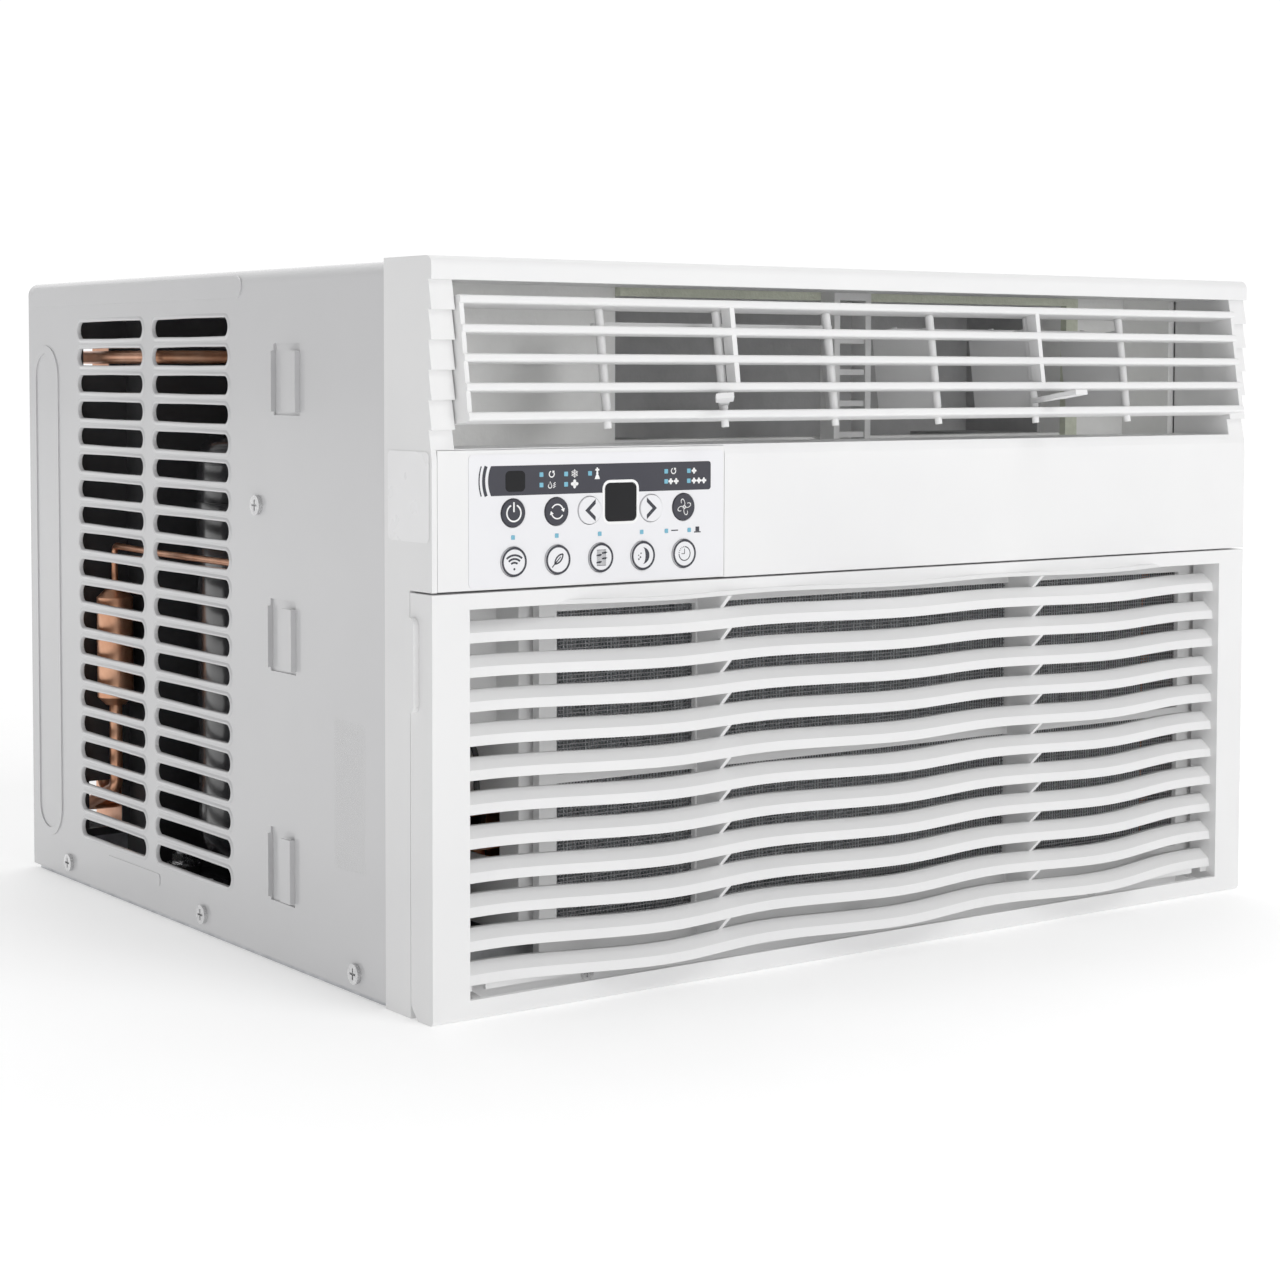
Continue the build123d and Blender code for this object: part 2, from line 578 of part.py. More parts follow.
with BuildPart() as control_panel:
    with BuildSketch(face_plane(0)):
        with Locations((PANEL_LEFT, BAND_BOTTOM + 0.2)):
            Rectangle(PANEL_RIGHT - PANEL_LEFT, OUTLET_BOTTOM - 0.8 - BAND_BOTTOM,
                      align=(Align.MIN, Align.MIN))
        control_holes()
    extrude(amount=-PANEL_SKIN)
save(control_panel, "control_panel")

with BuildPart() as control_overlay:
    with BuildSketch(face_plane(-OVERLAY_SKIN)):
        with Locations(((OVERLAY[0] + OVERLAY[1]) / 2, (OVERLAY[2] + OVERLAY[3]) / 2)):
            RectangleRounded(OVERLAY[1] - OVERLAY[0], OVERLAY[3] - OVERLAY[2], 2)
        control_holes()
    extrude(amount=-OVERLAY_SKIN)
save(control_overlay, "control_overlay")

for window_name, (x, z, w, h) in (("display_window", DISPLAY), ("receiver_window", RECEIVER)):
    with BuildPart() as window:
        with BuildSketch(face_plane(-OVERLAY_SKIN - 0.1)):
            with Locations((x, z)):
                RectangleRounded(w, h, 2.0)
        extrude(amount=-PANEL_SKIN)
    save(window, window_name)

with BuildPart() as indicator_lenses:
    with BuildSketch(face_plane(-OVERLAY_SKIN - 0.1)):
        with Locations(*LENS_SPOTS):
            Circle(LENS_R)
    extrude(amount=-PANEL_SKIN)
save(indicator_lenses, "indicator_lenses")

for button_name, x, z, radius in BUTTONS:
    with BuildPart() as button:
        with BuildSketch(face_plane(-OVERLAY_SKIN - BUTTON_TRAVEL - 0.1)):
            with Locations((x, z)):
                Circle(radius)
        extrude(amount=-5.0)
        fillet(edges().filter_by(GeomType.CIRCLE).sort_by(Axis.Y)[0], 0.4)
        with BuildSketch(face_plane(PANEL_SKIN + 0.4)):
            with Locations((x, z)):
                Circle(radius + 0.9)
        extrude(amount=-1.0)
        with BuildSketch(face_plane(PANEL_SKIN + 1.4)):
            with Locations((x, z)):
                Circle(2.0)
        extrude(amount=-1.6)
    save(button, button_name)

BOARD_FRONT = 7.4
with BuildPart() as control_board:
    with BuildSketch(face_plane(BOARD_FRONT)):
        with Locations(((OVERLAY[0] + OVERLAY[1]) / 2, 201)):
            Rectangle(128, 44)
    extrude(amount=-1.6)
    # posts to the panel, display block, connectors
    for post_x in (OVERLAY[0] + 3, OVERLAY[1] - 3):
        for post_z in (182, 220):
            slab(post_x - 2, post_x + 2, PANEL_SKIN, BOARD_FRONT, post_z - 2, post_z + 2)
    slab(DISPLAY[0] - 8, DISPLAY[0] + 8, 3.4, BOARD_FRONT, DISPLAY[1] - 8, DISPLAY[1] + 8)
    slab(-200, -180, BOARD_FRONT + 1.6, BOARD_FRONT + 9, 184, 192)
    slab(-140, -124, BOARD_FRONT + 1.6, BOARD_FRONT + 7, 186, 196)
save(control_board, "control_board")

# ================================================================ louver frame
LOUVER = Plane(origin=(0, depth(LOUVER_PIVOT_DEPTH), LOUVER_PIVOT_Z), x_dir=(1, 0, 0),
               z_dir=(0, math.sin(math.radians(LOUVER_TILT)), math.cos(math.radians(LOUVER_TILT))))
VANE_XS = [(i - 2.5) * VANE_PITCH for i in range(6)]


def louver_block(x0, x1, v0, v1, w0, w1, mode=Mode.ADD):
    """Box in the tilted frame of the louver: across, back from the pivot, up from the pivot."""
    with Locations(LOUVER.location):
        with Locations((x0, v0, w0)):
            Box(x1 - x0, v1 - v0, w1 - w0, align=(Align.MIN, Align.MIN, Align.MIN), mode=mode)


with BuildPart() as louver_frame:
    for index, w in enumerate(LOUVER_BARS):
        rear = VANE_LINE + 3.6 if index in (0, 4) else -11.0
        with BuildSketch(LOUVER.offset(w - LOUVER_BAR_H / 2)):
            with Locations((0, LOUVER_NOSE)):
                Rectangle(2 * LOUVER_HALF_W, rear - LOUVER_NOSE, align=(Align.CENTER, Align.MIN))
        extrude(amount=LOUVER_BAR_H)
    # rounded noses
    fillet(edges().filter_by(Axis.X).filter_by(lambda e: LOUVER.to_local_coords(e.center()).Y
                                               < LOUVER_NOSE + 0.1), 1.2)
    # end plates with the pivot pins
    for side in (-1, 1):
        louver_block(min(side * LOUVER_HALF_W, side * (LOUVER_HALF_W - 2)),
                     max(side * LOUVER_HALF_W, side * (LOUVER_HALF_W - 2)),
                     LOUVER_NOSE + 1, 4.0, LOUVER_BARS[4] - 1.7, LOUVER_BARS[0] + 1.7)
        with BuildSketch(side_plane(side * (LOUVER_HALF_W - 2))):
            with Locations((depth(LOUVER_PIVOT_DEPTH), LOUVER_PIVOT_Z)):
                Circle(LOUVER_PIN_R)
        extrude(amount=side * 8)
        # inner ribs tie the upper four bars
        louver_block(side * 89.5 - 1.2, side * 89.5 + 1.2, LOUVER_NOSE + 0.6, -11.0,
                     LOUVER_BARS[3], LOUVER_BARS[0])
    # vane pivot holes in the lowest and the highest bar
    with BuildSketch(LOUVER.offset(LOUVER_BARS[4] - 5)):
        with Locations(*[(x, VANE_LINE) for x in VANE_XS]):
            Circle(VANE_PIN_R + RUN_FIT)
    extrude(amount=60, mode=Mode.SUBTRACT)
save(louver_frame, "louver_frame")


def vane(x, turn, leads):
    """Upright vane on its own pivot; a leading vane also has the finger tab."""
    pivot = Plane(LOUVER.location * Location((x, VANE_LINE, 0), (0, 0, turn)))
    with Locations(pivot.location):
        # blade with a hub along its front edge
        with Locations((0, 0, VANE_FOOT)):
            Box(1.6, VANE_CHORD, VANE_TOP - VANE_FOOT, align=(Align.CENTER, Align.MIN, Align.MIN))
            Cylinder(1.9, 17.7 - VANE_FOOT, align=(Align.CENTER, Align.CENTER, Align.MIN))
        # lower peg and top hub
        with Locations((0, 0, VANE_FOOT - 7.6)):
            Cylinder(VANE_PIN_R, 8, align=(Align.CENTER, Align.CENTER, Align.MIN))
        with Locations((0, 0, 17.0)):
            Cylinder(VANE_PIN_R, 4.4, align=(Align.CENTER, Align.CENTER, Align.MIN))
        # pin for the link bar
        with Locations((0, LINK_REACH, VANE_TOP)):
            Cylinder(LINK_PIN_R, 3.6, align=(Align.CENTER, Align.CENTER, Align.MIN))
        if leads:
            with Locations((0, -31, -22.2)):
                Box(7.4, 16, 2.2, align=(Align.CENTER, Align.MIN, Align.MIN))
            with Locations((0, -16, -22.2)):
                Box(4.4, 16, 2.2, align=(Align.CENTER, Align.MIN, Align.MIN))


for vane_index, vane_x in enumerate(VANE_XS):
    with BuildPart() as blade:
        vane(vane_x, -LEFT_TURN if vane_index < 3 else 0, vane_index in (1, 4))
    save(blade, f"vane_{vane_index + 1}")

for group_name, group_xs, turn in (("left_vane_link", VANE_XS[:3], -LEFT_TURN),
                                   ("right_vane_link", VANE_XS[3:], 0)):
    swing = math.radians(turn)
    shift_x = -LINK_REACH * math.sin(swing)
    shift_v = VANE_LINE + LINK_REACH * math.cos(swing)
    with BuildPart() as link:
        with BuildSketch(LOUVER.offset(VANE_TOP + 0.5)):
            with Locations((group_xs[1] + shift_x, shift_v)):
                SlotOverall(2 * VANE_PITCH + 9, 5.4)
            for hole_index, x in enumerate(group_xs):
                with Locations((x + shift_x, shift_v)):
                    Circle(LINK_PIN_R + (RUN_FIT if hole_index == 1 else OPEN_FIT), mode=Mode.SUBTRACT)
        extrude(amount=2.2)
    save(link, group_name)

# ================================================================ outlet duct, scroll and orifice
DUCT_BOTTOM = 217.0
DUCT_TOP = 301.0
DUCT_HALF_W = 226.0
DUCT_FRONT = 38.6
DUCT_BACK = 70.0
OUTLET_LEFT = -99.0
OUTLET_RIGHT = 177.0

with BuildPart() as discharge_duct:
    slab(-DUCT_HALF_W, DUCT_HALF_W, DUCT_FRONT, SCROLL_FRONT, DUCT_BOTTOM, DUCT_TOP)
    slab(-222, 222, DUCT_FRONT, DUCT_BACK, 225, 297.4, mode=Mode.SUBTRACT)
    slab(OUTLET_LEFT, OUTLET_RIGHT, DUCT_BACK, SCROLL_FRONT, 229, 293, mode=Mode.SUBTRACT)
    # shallow groove across the blank part of the back wall
    slab(-222, OUTLET_LEFT - 6, DUCT_BACK, DUCT_BACK + 0.8, 262, 263.2, mode=Mode.SUBTRACT)
    # the rim is one moulding and the back wall another
    split(bisect_by=face_plane(DUCT_BACK), keep=Keep.BOTH)
save(discharge_duct, "discharge_duct")

with BuildPart() as outlet_gasket:
    with BuildSketch(face_plane(DUCT_BACK - 4)):
        with Locations((OUTLET_LEFT, 293)):
            Rectangle(OUTLET_RIGHT + 8 - OUTLET_LEFT, 4.4, align=(Align.MIN, Align.MIN))
        with Locations((OUTLET_RIGHT, 225)):
            Rectangle(8, 68, align=(Align.MIN, Align.MIN))
    extrude(amount=-4)
save(outlet_gasket, "outlet_gasket")

with BuildPart() as flow_divider:
    for rail_x in (16.0, 35.0):
        slab(rail_x, rail_x + 3.4, 56, 66, 225, 293)
    for rung in range(5):
        slab(16.0, 38.4, 57, 65, 229 + rung * 14.6, 231.6 + rung * 14.6)
    slab(16.0, 38.4, 56, 66, 293, 297.4)
save(flow_divider, "flow_divider")

SCROLL_R = 100.0
SCROLL_LEFT = -110.0
SCROLL_RIGHT = 190.0
with BuildPart() as blower_scroll:
    slab(SCROLL_LEFT, SCROLL_RIGHT, SCROLL_FRONT, SCROLL_REAR, 26, DUCT_TOP)
    with BuildSketch(face_plane(SCROLL_FRONT)):
        with Locations((AXIS_X, AXIS_Z)):
            Circle(SCROLL_R)
        with Locations((AXIS_X - SCROLL_R, AXIS_Z)):
            Rectangle(2 * SCROLL_R, 130, align=(Align.MIN, Align.MIN))
        with Locations((OUTLET_LEFT + 2, 229)):
            Rectangle(OUTLET_RIGHT - OUTLET_LEFT - 4, 64, align=(Align.MIN, Align.MIN))
    extrude(amount=-(SCROLL_REAR - SCROLL_FRONT - 4), mode=Mode.SUBTRACT)
    with BuildSketch(face_plane(SCROLL_REAR - 4)):
        with Locations((AXIS_X, AXIS_Z)):
            Circle(16)
    extrude(amount=-4, mode=Mode.SUBTRACT)
save(blower_scroll, "blower_scroll")

EYE_R = 64.0
with BuildPart() as air_orifice:
    with BuildSketch(face_plane(ORIFICE_FRONT)):
        with Locations((25, 26)):
            Rectangle(376, DUCT_BOTTOM - 28, align=(Align.CENTER, Align.MIN))
        with Locations((AXIS_X, AXIS_Z)):
            Circle(EYE_R, mode=Mode.SUBTRACT)
    extrude(amount=-1.6)
    with BuildSketch(face_plane(ORIFICE_FRONT)):
        with Locations((AXIS_X, AXIS_Z)):
            Circle(EYE_R + 2)
            Circle(EYE_R, mode=Mode.SUBTRACT)
    extrude(amount=-8)
    # spacer rails that touch the scroll
    for rail_x in (SCROLL_LEFT + 2, SCROLL_RIGHT - 4):
        slab(rail_x, rail_x + 2, ORIFICE_FRONT + 1.6, SCROLL_FRONT, 30, 212)
save(air_orifice, "air_orifice")

# ================================================================ blower, motor, condenser fan
BLOWER_FRONT = 91.0
BLOWER_REAR = 134.0
BLOWER_R = 80.0
BLADE_COUNT = 36

with BuildPart() as blower_wheel:
    with BuildSketch(face_plane(BLOWER_FRONT)):
        with Locations((AXIS_X, AXIS_Z)):
            Circle(BLOWER_R)
            Circle(BLOWER_R - 10, mode=Mode.SUBTRACT)
    extrude(amount=-2)
    with BuildSketch(face_plane(BLOWER_FRONT + 2)):
        with Locations((AXIS_X, AXIS_Z)):
            with PolarLocations(BLOWER_R - 7, BLADE_COUNT):
                Rectangle(12, 1.0, rotation=35)
    extrude(amount=-(BLOWER_REAR - BLOWER_FRONT - 3.6))
    with BuildSketch(face_plane(BLOWER_REAR - 1.6)):
        with Locations((AXIS_X, AXIS_Z)):
            Circle(BLOWER_R)
            Circle(SHAFT_R, mode=Mode.SUBTRACT)
    extrude(amount=-1.6)
    with BuildSketch(face_plane(BLOWER_REAR - 20)):
        with Locations((AXIS_X, AXIS_Z)):
            Circle(14)
            Circle(SHAFT_R, mode=Mode.SUBTRACT)
    extrude(amount=-18.4)
    # the back disc and the hub are moulded on their own and welded to the blade ring
    split(bisect_by=face_plane(BLOWER_REAR - 1.6), keep=Keep.BOTH)
save(blower_wheel, "blower_wheel")

with BuildPart() as motor_shaft:
    with BuildSketch(face_plane(BLOWER_REAR - 24)):
        with Locations((AXIS_X, AXIS_Z)):
            Circle(SHAFT_R)
    extrude(amount=-(FAN_FRONT + 34 - BLOWER_REAR + 24))
save(motor_shaft, "motor_shaft")

MOTOR_R = 47.0
with BuildPart() as fan_motor:
    with BuildSketch(face_plane(MOTOR_FRONT)):
        with Locations((AXIS_X, AXIS_Z)):
            Circle(MOTOR_R)
    extrude(amount=-(MOTOR_REAR - MOTOR_FRONT))
    fillet(edges().filter_by(GeomType.CIRCLE), 8)
    for band in (MOTOR_FRONT + 30, MOTOR_FRONT + 42):
        with BuildSketch(face_plane(band)):
            with Locations((AXIS_X, AXIS_Z)):
                Circle(MOTOR_R + 1.5)
                Circle(MOTOR_R - 1, mode=Mode.SUBTRACT)
        extrude(amount=-4)
    with BuildSketch(face_plane(MOTOR_FRONT - 6)):
        with Locations((AXIS_X, AXIS_Z)):
            Circle(18)
    extrude(amount=-(MOTOR_REAR - MOTOR_FRONT + 12))
    with BuildSketch(face_plane(MOTOR_FRONT - 6)):
        with Locations((AXIS_X, AXIS_Z)):
            Circle(SHAFT_R + RUN_FIT)
    extrude(amount=-(MOTOR_REAR - MOTOR_FRONT + 12), mode=Mode.SUBTRACT)
save(fan_motor, "fan_motor")

BRACKET_HALF_W = 58.0
with BuildPart() as motor_bracket:
    with BuildSketch(face_plane(MOTOR_REAR)):
        with Locations((AXIS_X, PAN_SHEET)):
            Rectangle(2 * BRACKET_HALF_W, 186, align=(Align.CENTER, Align.MIN))
        fillet(vertices().group_by(Axis.Y)[-1], 14)
        with Locations((AXIS_X, AXIS_Z)):
            Circle(18.2, mode=Mode.SUBTRACT)
        with Locations((AXIS_X - 36, 40), (AXIS_X + 36, 40)):
            RectangleRounded(24, 40, 6, mode=Mode.SUBTRACT)
    extrude(amount=-2)
    slab(AXIS_X - BRACKET_HALF_W, AXIS_X + BRACKET_HALF_W, MOTOR_REAR, MOTOR_REAR + 26,
         PAN_SHEET, PAN_SHEET + 2)
    for gusset_x in (AXIS_X - BRACKET_HALF_W, AXIS_X + BRACKET_HALF_W - 2):
        with BuildSketch(side_plane(gusset_x)):
            with BuildLine():
                Polyline((depth(MOTOR_REAR), PAN_SHEET), (depth(MOTOR_REAR + 26), PAN_SHEET),
                         (depth(MOTOR_REAR), 110), close=True)
            make_face()
        extrude(amount=2)
save(motor_bracket, "motor_bracket")

FAN_R = 118.0
FAN_BLADES = 5
with BuildPart() as condenser_fan:
    with BuildSketch(face_plane(FAN_FRONT)):
        with Locations((AXIS_X, AXIS_Z)):
            Circle(28)
            Circle(SHAFT_R, mode=Mode.SUBTRACT)
    extrude(amount=-30)
    # five twisted blades between the hub and the slinger ring
    for blade_index in range(FAN_BLADES):
        around = math.radians(90 + blade_index * 360 / FAN_BLADES)
        radial = Vector(math.cos(around), 0, math.sin(around))
        centre = Vector(AXIS_X, depth(FAN_FRONT + 14), AXIS_Z)
        root = Plane(origin=centre + radial * 26, x_dir=radial.cross(Vector(0, 1, 0)), z_dir=radial)
        tip = Plane(origin=centre + radial * (FAN_R - 5), x_dir=radial.cross(Vector(0, 1, 0)),
                    z_dir=radial)
        with BuildSketch(root):
            Rectangle(34, 2.4, rotation=38)
        with BuildSketch(tip):
            Rectangle(72, 2.0, rotation=18)
        loft()
    with BuildSketch(face_plane(FAN_FRONT + 3)):
        with Locations((AXIS_X, AXIS_Z)):
            Circle(FAN_R)
            Circle(FAN_R - 6, mode=Mode.SUBTRACT)
    extrude(amount=-22)
save(condenser_fan, "condenser_fan")

# ================================================================ shroud and heat exchangers
SHROUD_LEFT = -208.0
SHROUD_RIGHT = 222.0
with BuildPart() as fan_shroud:
    slab(SHROUD_LEFT, SHROUD_RIGHT, SHROUD, COND_FRONT, 6, 297)
    slab(SHROUD_LEFT + 2, SHROUD_RIGHT - 2, SHROUD + 2, COND_FRONT, 4, 295, mode=Mode.SUBTRACT)
    with BuildSketch(face_plane(SHROUD - 8)):
        with Locations((AXIS_X, AXIS_Z)):
            Circle(FAN_R + 6)
            Circle(FAN_R + 4, mode=Mode.SUBTRACT)
    extrude(amount=-10)
    with BuildSketch(face_plane(SHROUD)):
        with Locations((AXIS_X, AXIS_Z)):
            Circle(FAN_R + 4)
    extrude(amount=-2, mode=Mode.SUBTRACT)
    # wings that close the space beside the condenser, notched for the pipes
    slab(-233.4, SHROUD_LEFT, 345, 346.2, 24, 292)
    slab(SHROUD_RIGHT, 233.4, 345, 346.2, 24, 292)
    slab(-230, -212, 344, 347, 28, 52, mode=Mode.SUBTRACT)
    slab(-231, -217, 344, 347, 259, 273, mode=Mode.SUBTRACT)
save(fan_shroud, "fan_shroud")


def return_bends(x, side, rows, tube_r, loop_r, stub):
    """Half loops that join neighbouring tubes beyond an end plate."""
    for row_depth, z in rows:
        start = Plane(origin=(x, depth(row_depth), z), x_dir=(0, 0, 1), z_dir=(side, 0, 0))
        with BuildSketch(start) as stubs:
            with Locations((loop_r, 0), (-loop_r, 0)):
                Circle(tube_r)
        extrude(stubs.sketch, amount=stub)
        with BuildLine(Plane(origin=(x + side * stub, depth(row_depth), z), x_dir=(0, 0, 1),
                             z_dir=(0, side, 0))) as loop:
            CenterArc((0, 0), loop_r, 0, 180)
        with BuildSketch(Plane(origin=loop.line @ 0, z_dir=loop.line % 0)) as section:
            Circle(tube_r)
        sweep(section.sketch, path=loop.line)


EVAP_LEFT = -160.0
EVAP_RIGHT = 206.0
FIN_LEAF = 1.2
FIN_PITCH = 6.0
FIN_CORE = 2.0


def fin_block(left, right, front, rear, bottom, top):
    """Upright leaves on a core sheet, every third leaf of the real pitch and three times as thick."""
    middle = (front + rear) / 2
    slab(left, right, middle - FIN_CORE / 2, middle + FIN_CORE / 2, bottom, top)
    leaves = int((right - left - FIN_LEAF) / FIN_PITCH) + 1
    pitch = (right - left - FIN_LEAF) / (leaves - 1)
    with BuildSketch(Plane.XY.offset(bottom)) as comb:
        with Locations(*[(left + FIN_LEAF / 2 + leaf * pitch, depth(middle)) for leaf in range(leaves)]):
            Rectangle(FIN_LEAF, rear - front)
    extrude(comb.sketch, amount=top - bottom)


with BuildPart() as evaporator_fins:
    fin_block(EVAP_LEFT, EVAP_RIGHT, EVAP_FRONT, EVAP_REAR, 26, 212)
save(evaporator_fins, "evaporator_fins")

EVAP_ROWS = [(row_depth, 44 + 36 * i + shift) for row_depth, shift in ((50, 0), (68, 8)) for i in range(5)]
with BuildPart() as evaporator_tubes:
    # end plates and return bends
    slab(EVAP_LEFT - 1.2, EVAP_LEFT, EVAP_FRONT - 1, EVAP_REAR + 1, 25, 213)
    slab(EVAP_RIGHT, EVAP_RIGHT + 1.2, EVAP_FRONT - 1, EVAP_REAR + 1, 25, 213)
    return_bends(EVAP_LEFT - 1.2, -1, EVAP_ROWS, 3.4, 8.5, 3)
    return_bends(EVAP_RIGHT + 1.2, 1, EVAP_ROWS, 3.4, 8.5, 3)
save(evaporator_tubes, "evaporator_tubes")

COND_LEFT = -204.0
COND_RIGHT = 216.0
with BuildPart() as condenser_fins:
    fin_block(COND_LEFT, COND_RIGHT, COND_FRONT, COND_REAR, 24, 290)
save(condenser_fins, "condenser_fins")

COND_ROWS = [(row_depth, 52 + 36 * i + shift) for row_depth, shift in ((358, 0), (380, 8)) for i in range(6)]
with BuildPart() as condenser_tubes:
    slab(COND_LEFT - 1.2, COND_LEFT, COND_FRONT, COND_REAR + 1, 23, 291)
    slab(COND_RIGHT, COND_RIGHT + 1.2, COND_FRONT, COND_REAR + 1, 23, 291)
    return_bends(COND_LEFT - 1.2, -1, COND_ROWS, 3.6, 9, 2)
    return_bends(COND_RIGHT + 1.2, 1, COND_ROWS, 3.6, 9, 2)
save(condenser_tubes, "condenser_tubes")

# ================================================================ partition, electrical box, capacitor
with BuildPart() as partition:
    slab(-229, 229, PARTITION, PARTITION + PAN_SHEET, PAN_SHEET, 302)
    for side in (-1, 1):
        slab(min(side * (WRAP_HALF_W - SHEET), side * 228), max(side * (WRAP_HALF_W - SHEET), side * 228),
             PARTITION, PARTITION + PAN_SHEET, PAN_WALL_TOP + 2, 297)
        slab(min(side * (WRAP_HALF_W - SHEET), side * (WRAP_HALF_W - SHEET - 1.2)),
             max(side * (WRAP_HALF_W - SHEET), side * (WRAP_HALF_W - SHEET - 1.2)),
             PARTITION, PARTITION + 14, PAN_WALL_TOP + 2, 297)
    with BuildSketch(face_plane(PARTITION)):
        with Locations((AXIS_X, AXIS_Z)):
            Circle(20)
        with Locations((-204, 76)):
            RectangleRounded(34, 48, 5)
    extrude(amount=-PAN_SHEET, mode=Mode.SUBTRACT)
    with BuildSketch(side_plane(-HALF_W)):
        with Locations((depth(MID_SCREW[0]), MID_SCREW[1])):
            Circle(1.8)
    extrude(amount=WIDTH, mode=Mode.SUBTRACT)
save(partition, "partition")

with BuildPart() as control_box:
    slab(-222, -178, 44, PARTITION, 106, 214)
    slab(-220, -180, 46, PARTITION - 2, 108, 212, mode=Mode.SUBTRACT)
    slab(-222, -220, 56, PARTITION - 12, 118, 202, mode=Mode.SUBTRACT)
    # bulkhead beside the evaporator, with a window for the two pipes
    slab(-178, -176.8, 27, PARTITION, 24, 171)
    slab(-176.8, -164, 27, 28.2, 24, 171)
    slab(-178, -176.8, 40, PARTITION, 171, 214)
    slab(-179, -176, 42, 74, 54, 76, mode=Mode.SUBTRACT)
save(control_box, "control_box")

with BuildPart() as capacitor:
    with BuildSketch(Plane.XY.offset(PAN_SHEET)):
        with Locations((-205, depth(66))):
            SlotOverall(40, 28, rotation=90)
    extrude(amount=70)
    slab(-209, -207, 56, 62, PAN_SHEET + 70, PAN_SHEET + 77)
    slab(-203, -201, 70, 76, PAN_SHEET + 70, PAN_SHEET + 77)
save(capacitor, "capacitor")

# ================================================================ compressor and lines
COMP_BOTTOM = 18.0
COMP_TOP = 232.0
FOOT_Z = 10.4

with BuildPart() as compressor:
    with BuildSketch(Plane.XY.offset(COMP_BOTTOM)):
        with Locations((COMP_X, depth(COMP_DEPTH))):
            Circle(COMP_R)
    extrude(amount=COMP_TOP - COMP_BOTTOM)
    fillet(edges().filter_by(GeomType.CIRCLE), 18)
    # weld collar and terminal cover
    with BuildSketch(Plane.XY.offset(COMP_TOP - 42)):
        with Locations((COMP_X, depth(COMP_DEPTH))):
            Circle(COMP_R + 1.5)
            Circle(COMP_R - 2, mode=Mode.SUBTRACT)
    extrude(amount=6)
    with Locations((COMP_X + 18, depth(COMP_DEPTH - 8), COMP_TOP - 1)):
        Cylinder(15, 16, align=(Align.CENTER, Align.CENTER, Align.MIN))
    # foot plate
    with BuildSketch(Plane.XY.offset(FOOT_Z)):
        with Locations((COMP_X, depth(COMP_DEPTH))):
            Circle(COMP_R - 6)
        for foot_x, foot_depth, foot_angle in comp_feet():
            with Locations((foot_x, depth(foot_depth))):
                Circle(12)
            with Locations(((COMP_X + foot_x) / 2, depth((COMP_DEPTH + foot_depth) / 2))):
                Rectangle(COMP_FOOT_R, 16, rotation=foot_angle)
            with Locations((foot_x, depth(foot_depth))):
                Circle(6.5, mode=Mode.SUBTRACT)
    extrude(amount=3)
    with BuildSketch(Plane.XY.offset(FOOT_Z + 3)):
        with Locations((COMP_X, depth(COMP_DEPTH))):
            Circle(30)
    extrude(amount=COMP_BOTTOM - FOOT_Z - 1)
    # space inside the welded shell, round the pump
    with BuildSketch(Plane.XY.offset(COMP_BOTTOM + 22)):
        with Locations((COMP_X, depth(COMP_DEPTH))):
            Circle(COMP_R - 14)
    extrude(amount=COMP_TOP - COMP_BOTTOM - 44, mode=Mode.SUBTRACT)
    # suction accumulator on its strap
    with BuildSketch(Plane.XY.offset(60)):
        with Locations((ACC_X, depth(ACC_DEPTH))):
            Circle(ACC_R)
    extrude(amount=120)
    with BuildSketch(Plane.XY.offset(120)):
        with BuildLine():
            Polyline((COMP_X + 20, depth(COMP_DEPTH) + 2), (ACC_X, depth(ACC_DEPTH) + 6),
                     (ACC_X, depth(ACC_DEPTH) - 6), (COMP_X + 20, depth(COMP_DEPTH) - 12), close=True)
        make_face()
    extrude(amount=14)
save(compressor, "compressor")

with BuildPart() as compressor_grommets:
    for foot_x, foot_depth, foot_angle in comp_feet():
        centre = (foot_x, depth(foot_depth), 0)
        with BuildSketch(Plane(origin=centre, x_dir=(1, 0, 0), z_dir=(0, -1, 0))):
            with BuildLine():
                Polyline((3.0, PAN_SHEET), (10.0, PAN_SHEET), (10.0, FOOT_Z), (6.4, FOOT_Z),
                         (6.4, FOOT_Z + 3.0), (9.0, FOOT_Z + 3.0), (9.0, FOOT_Z + 6.0),
                         (3.0, FOOT_Z + 6.0), close=True)
            make_face()
        revolve(axis=Axis(centre, (0, 0, 1)))
save(compressor_grommets, "compressor_grommets")

with BuildPart() as compressor_nuts:
    for foot_x, foot_depth, foot_angle in comp_feet():
        with BuildSketch(Plane.XY.offset(FOOT_Z + 6.0)):
            with Locations((foot_x, depth(foot_depth))):
                Circle(8)
                Circle(3.0, mode=Mode.SUBTRACT)
        extrude(amount=1.2)
        with BuildSketch(Plane.XY.offset(FOOT_Z + 7.2)):
            with Locations((foot_x, depth(foot_depth))):
                RegularPolygon(5.0, 6, major_radius=False)
                Circle(3.0, mode=Mode.SUBTRACT)
        extrude(amount=4.8)
save(compressor_nuts, "compressor_nuts")

SUCTION_R = 4.8
THIN_R = 3.2
with BuildPart() as suction_line:
    tube([(ACC_X, depth(ACC_DEPTH), 180), (ACC_X, depth(ACC_DEPTH), 252), (-208, depth(ACC_DEPTH - 46), 252),
          (-208, depth(ACC_DEPTH - 46), 62), (-208, depth(112), 62), (-184.4, depth(112), 62),
          (-184.4, depth(50), 62), (-161.2, depth(50), 62)], SUCTION_R, 8)
save(suction_line, "suction_line")

with BuildPart() as discharge_line:
    tube([(COMP_X - 16, depth(COMP_DEPTH), COMP_TOP), (COMP_X - 16, depth(COMP_DEPTH), 266),
          (-224, depth(COMP_DEPTH + 20), 266), (-224, depth(370), 266),
          (COND_LEFT - 1.2, depth(370), 266)], THIN_R, 8)
save(discharge_line, "discharge_line")

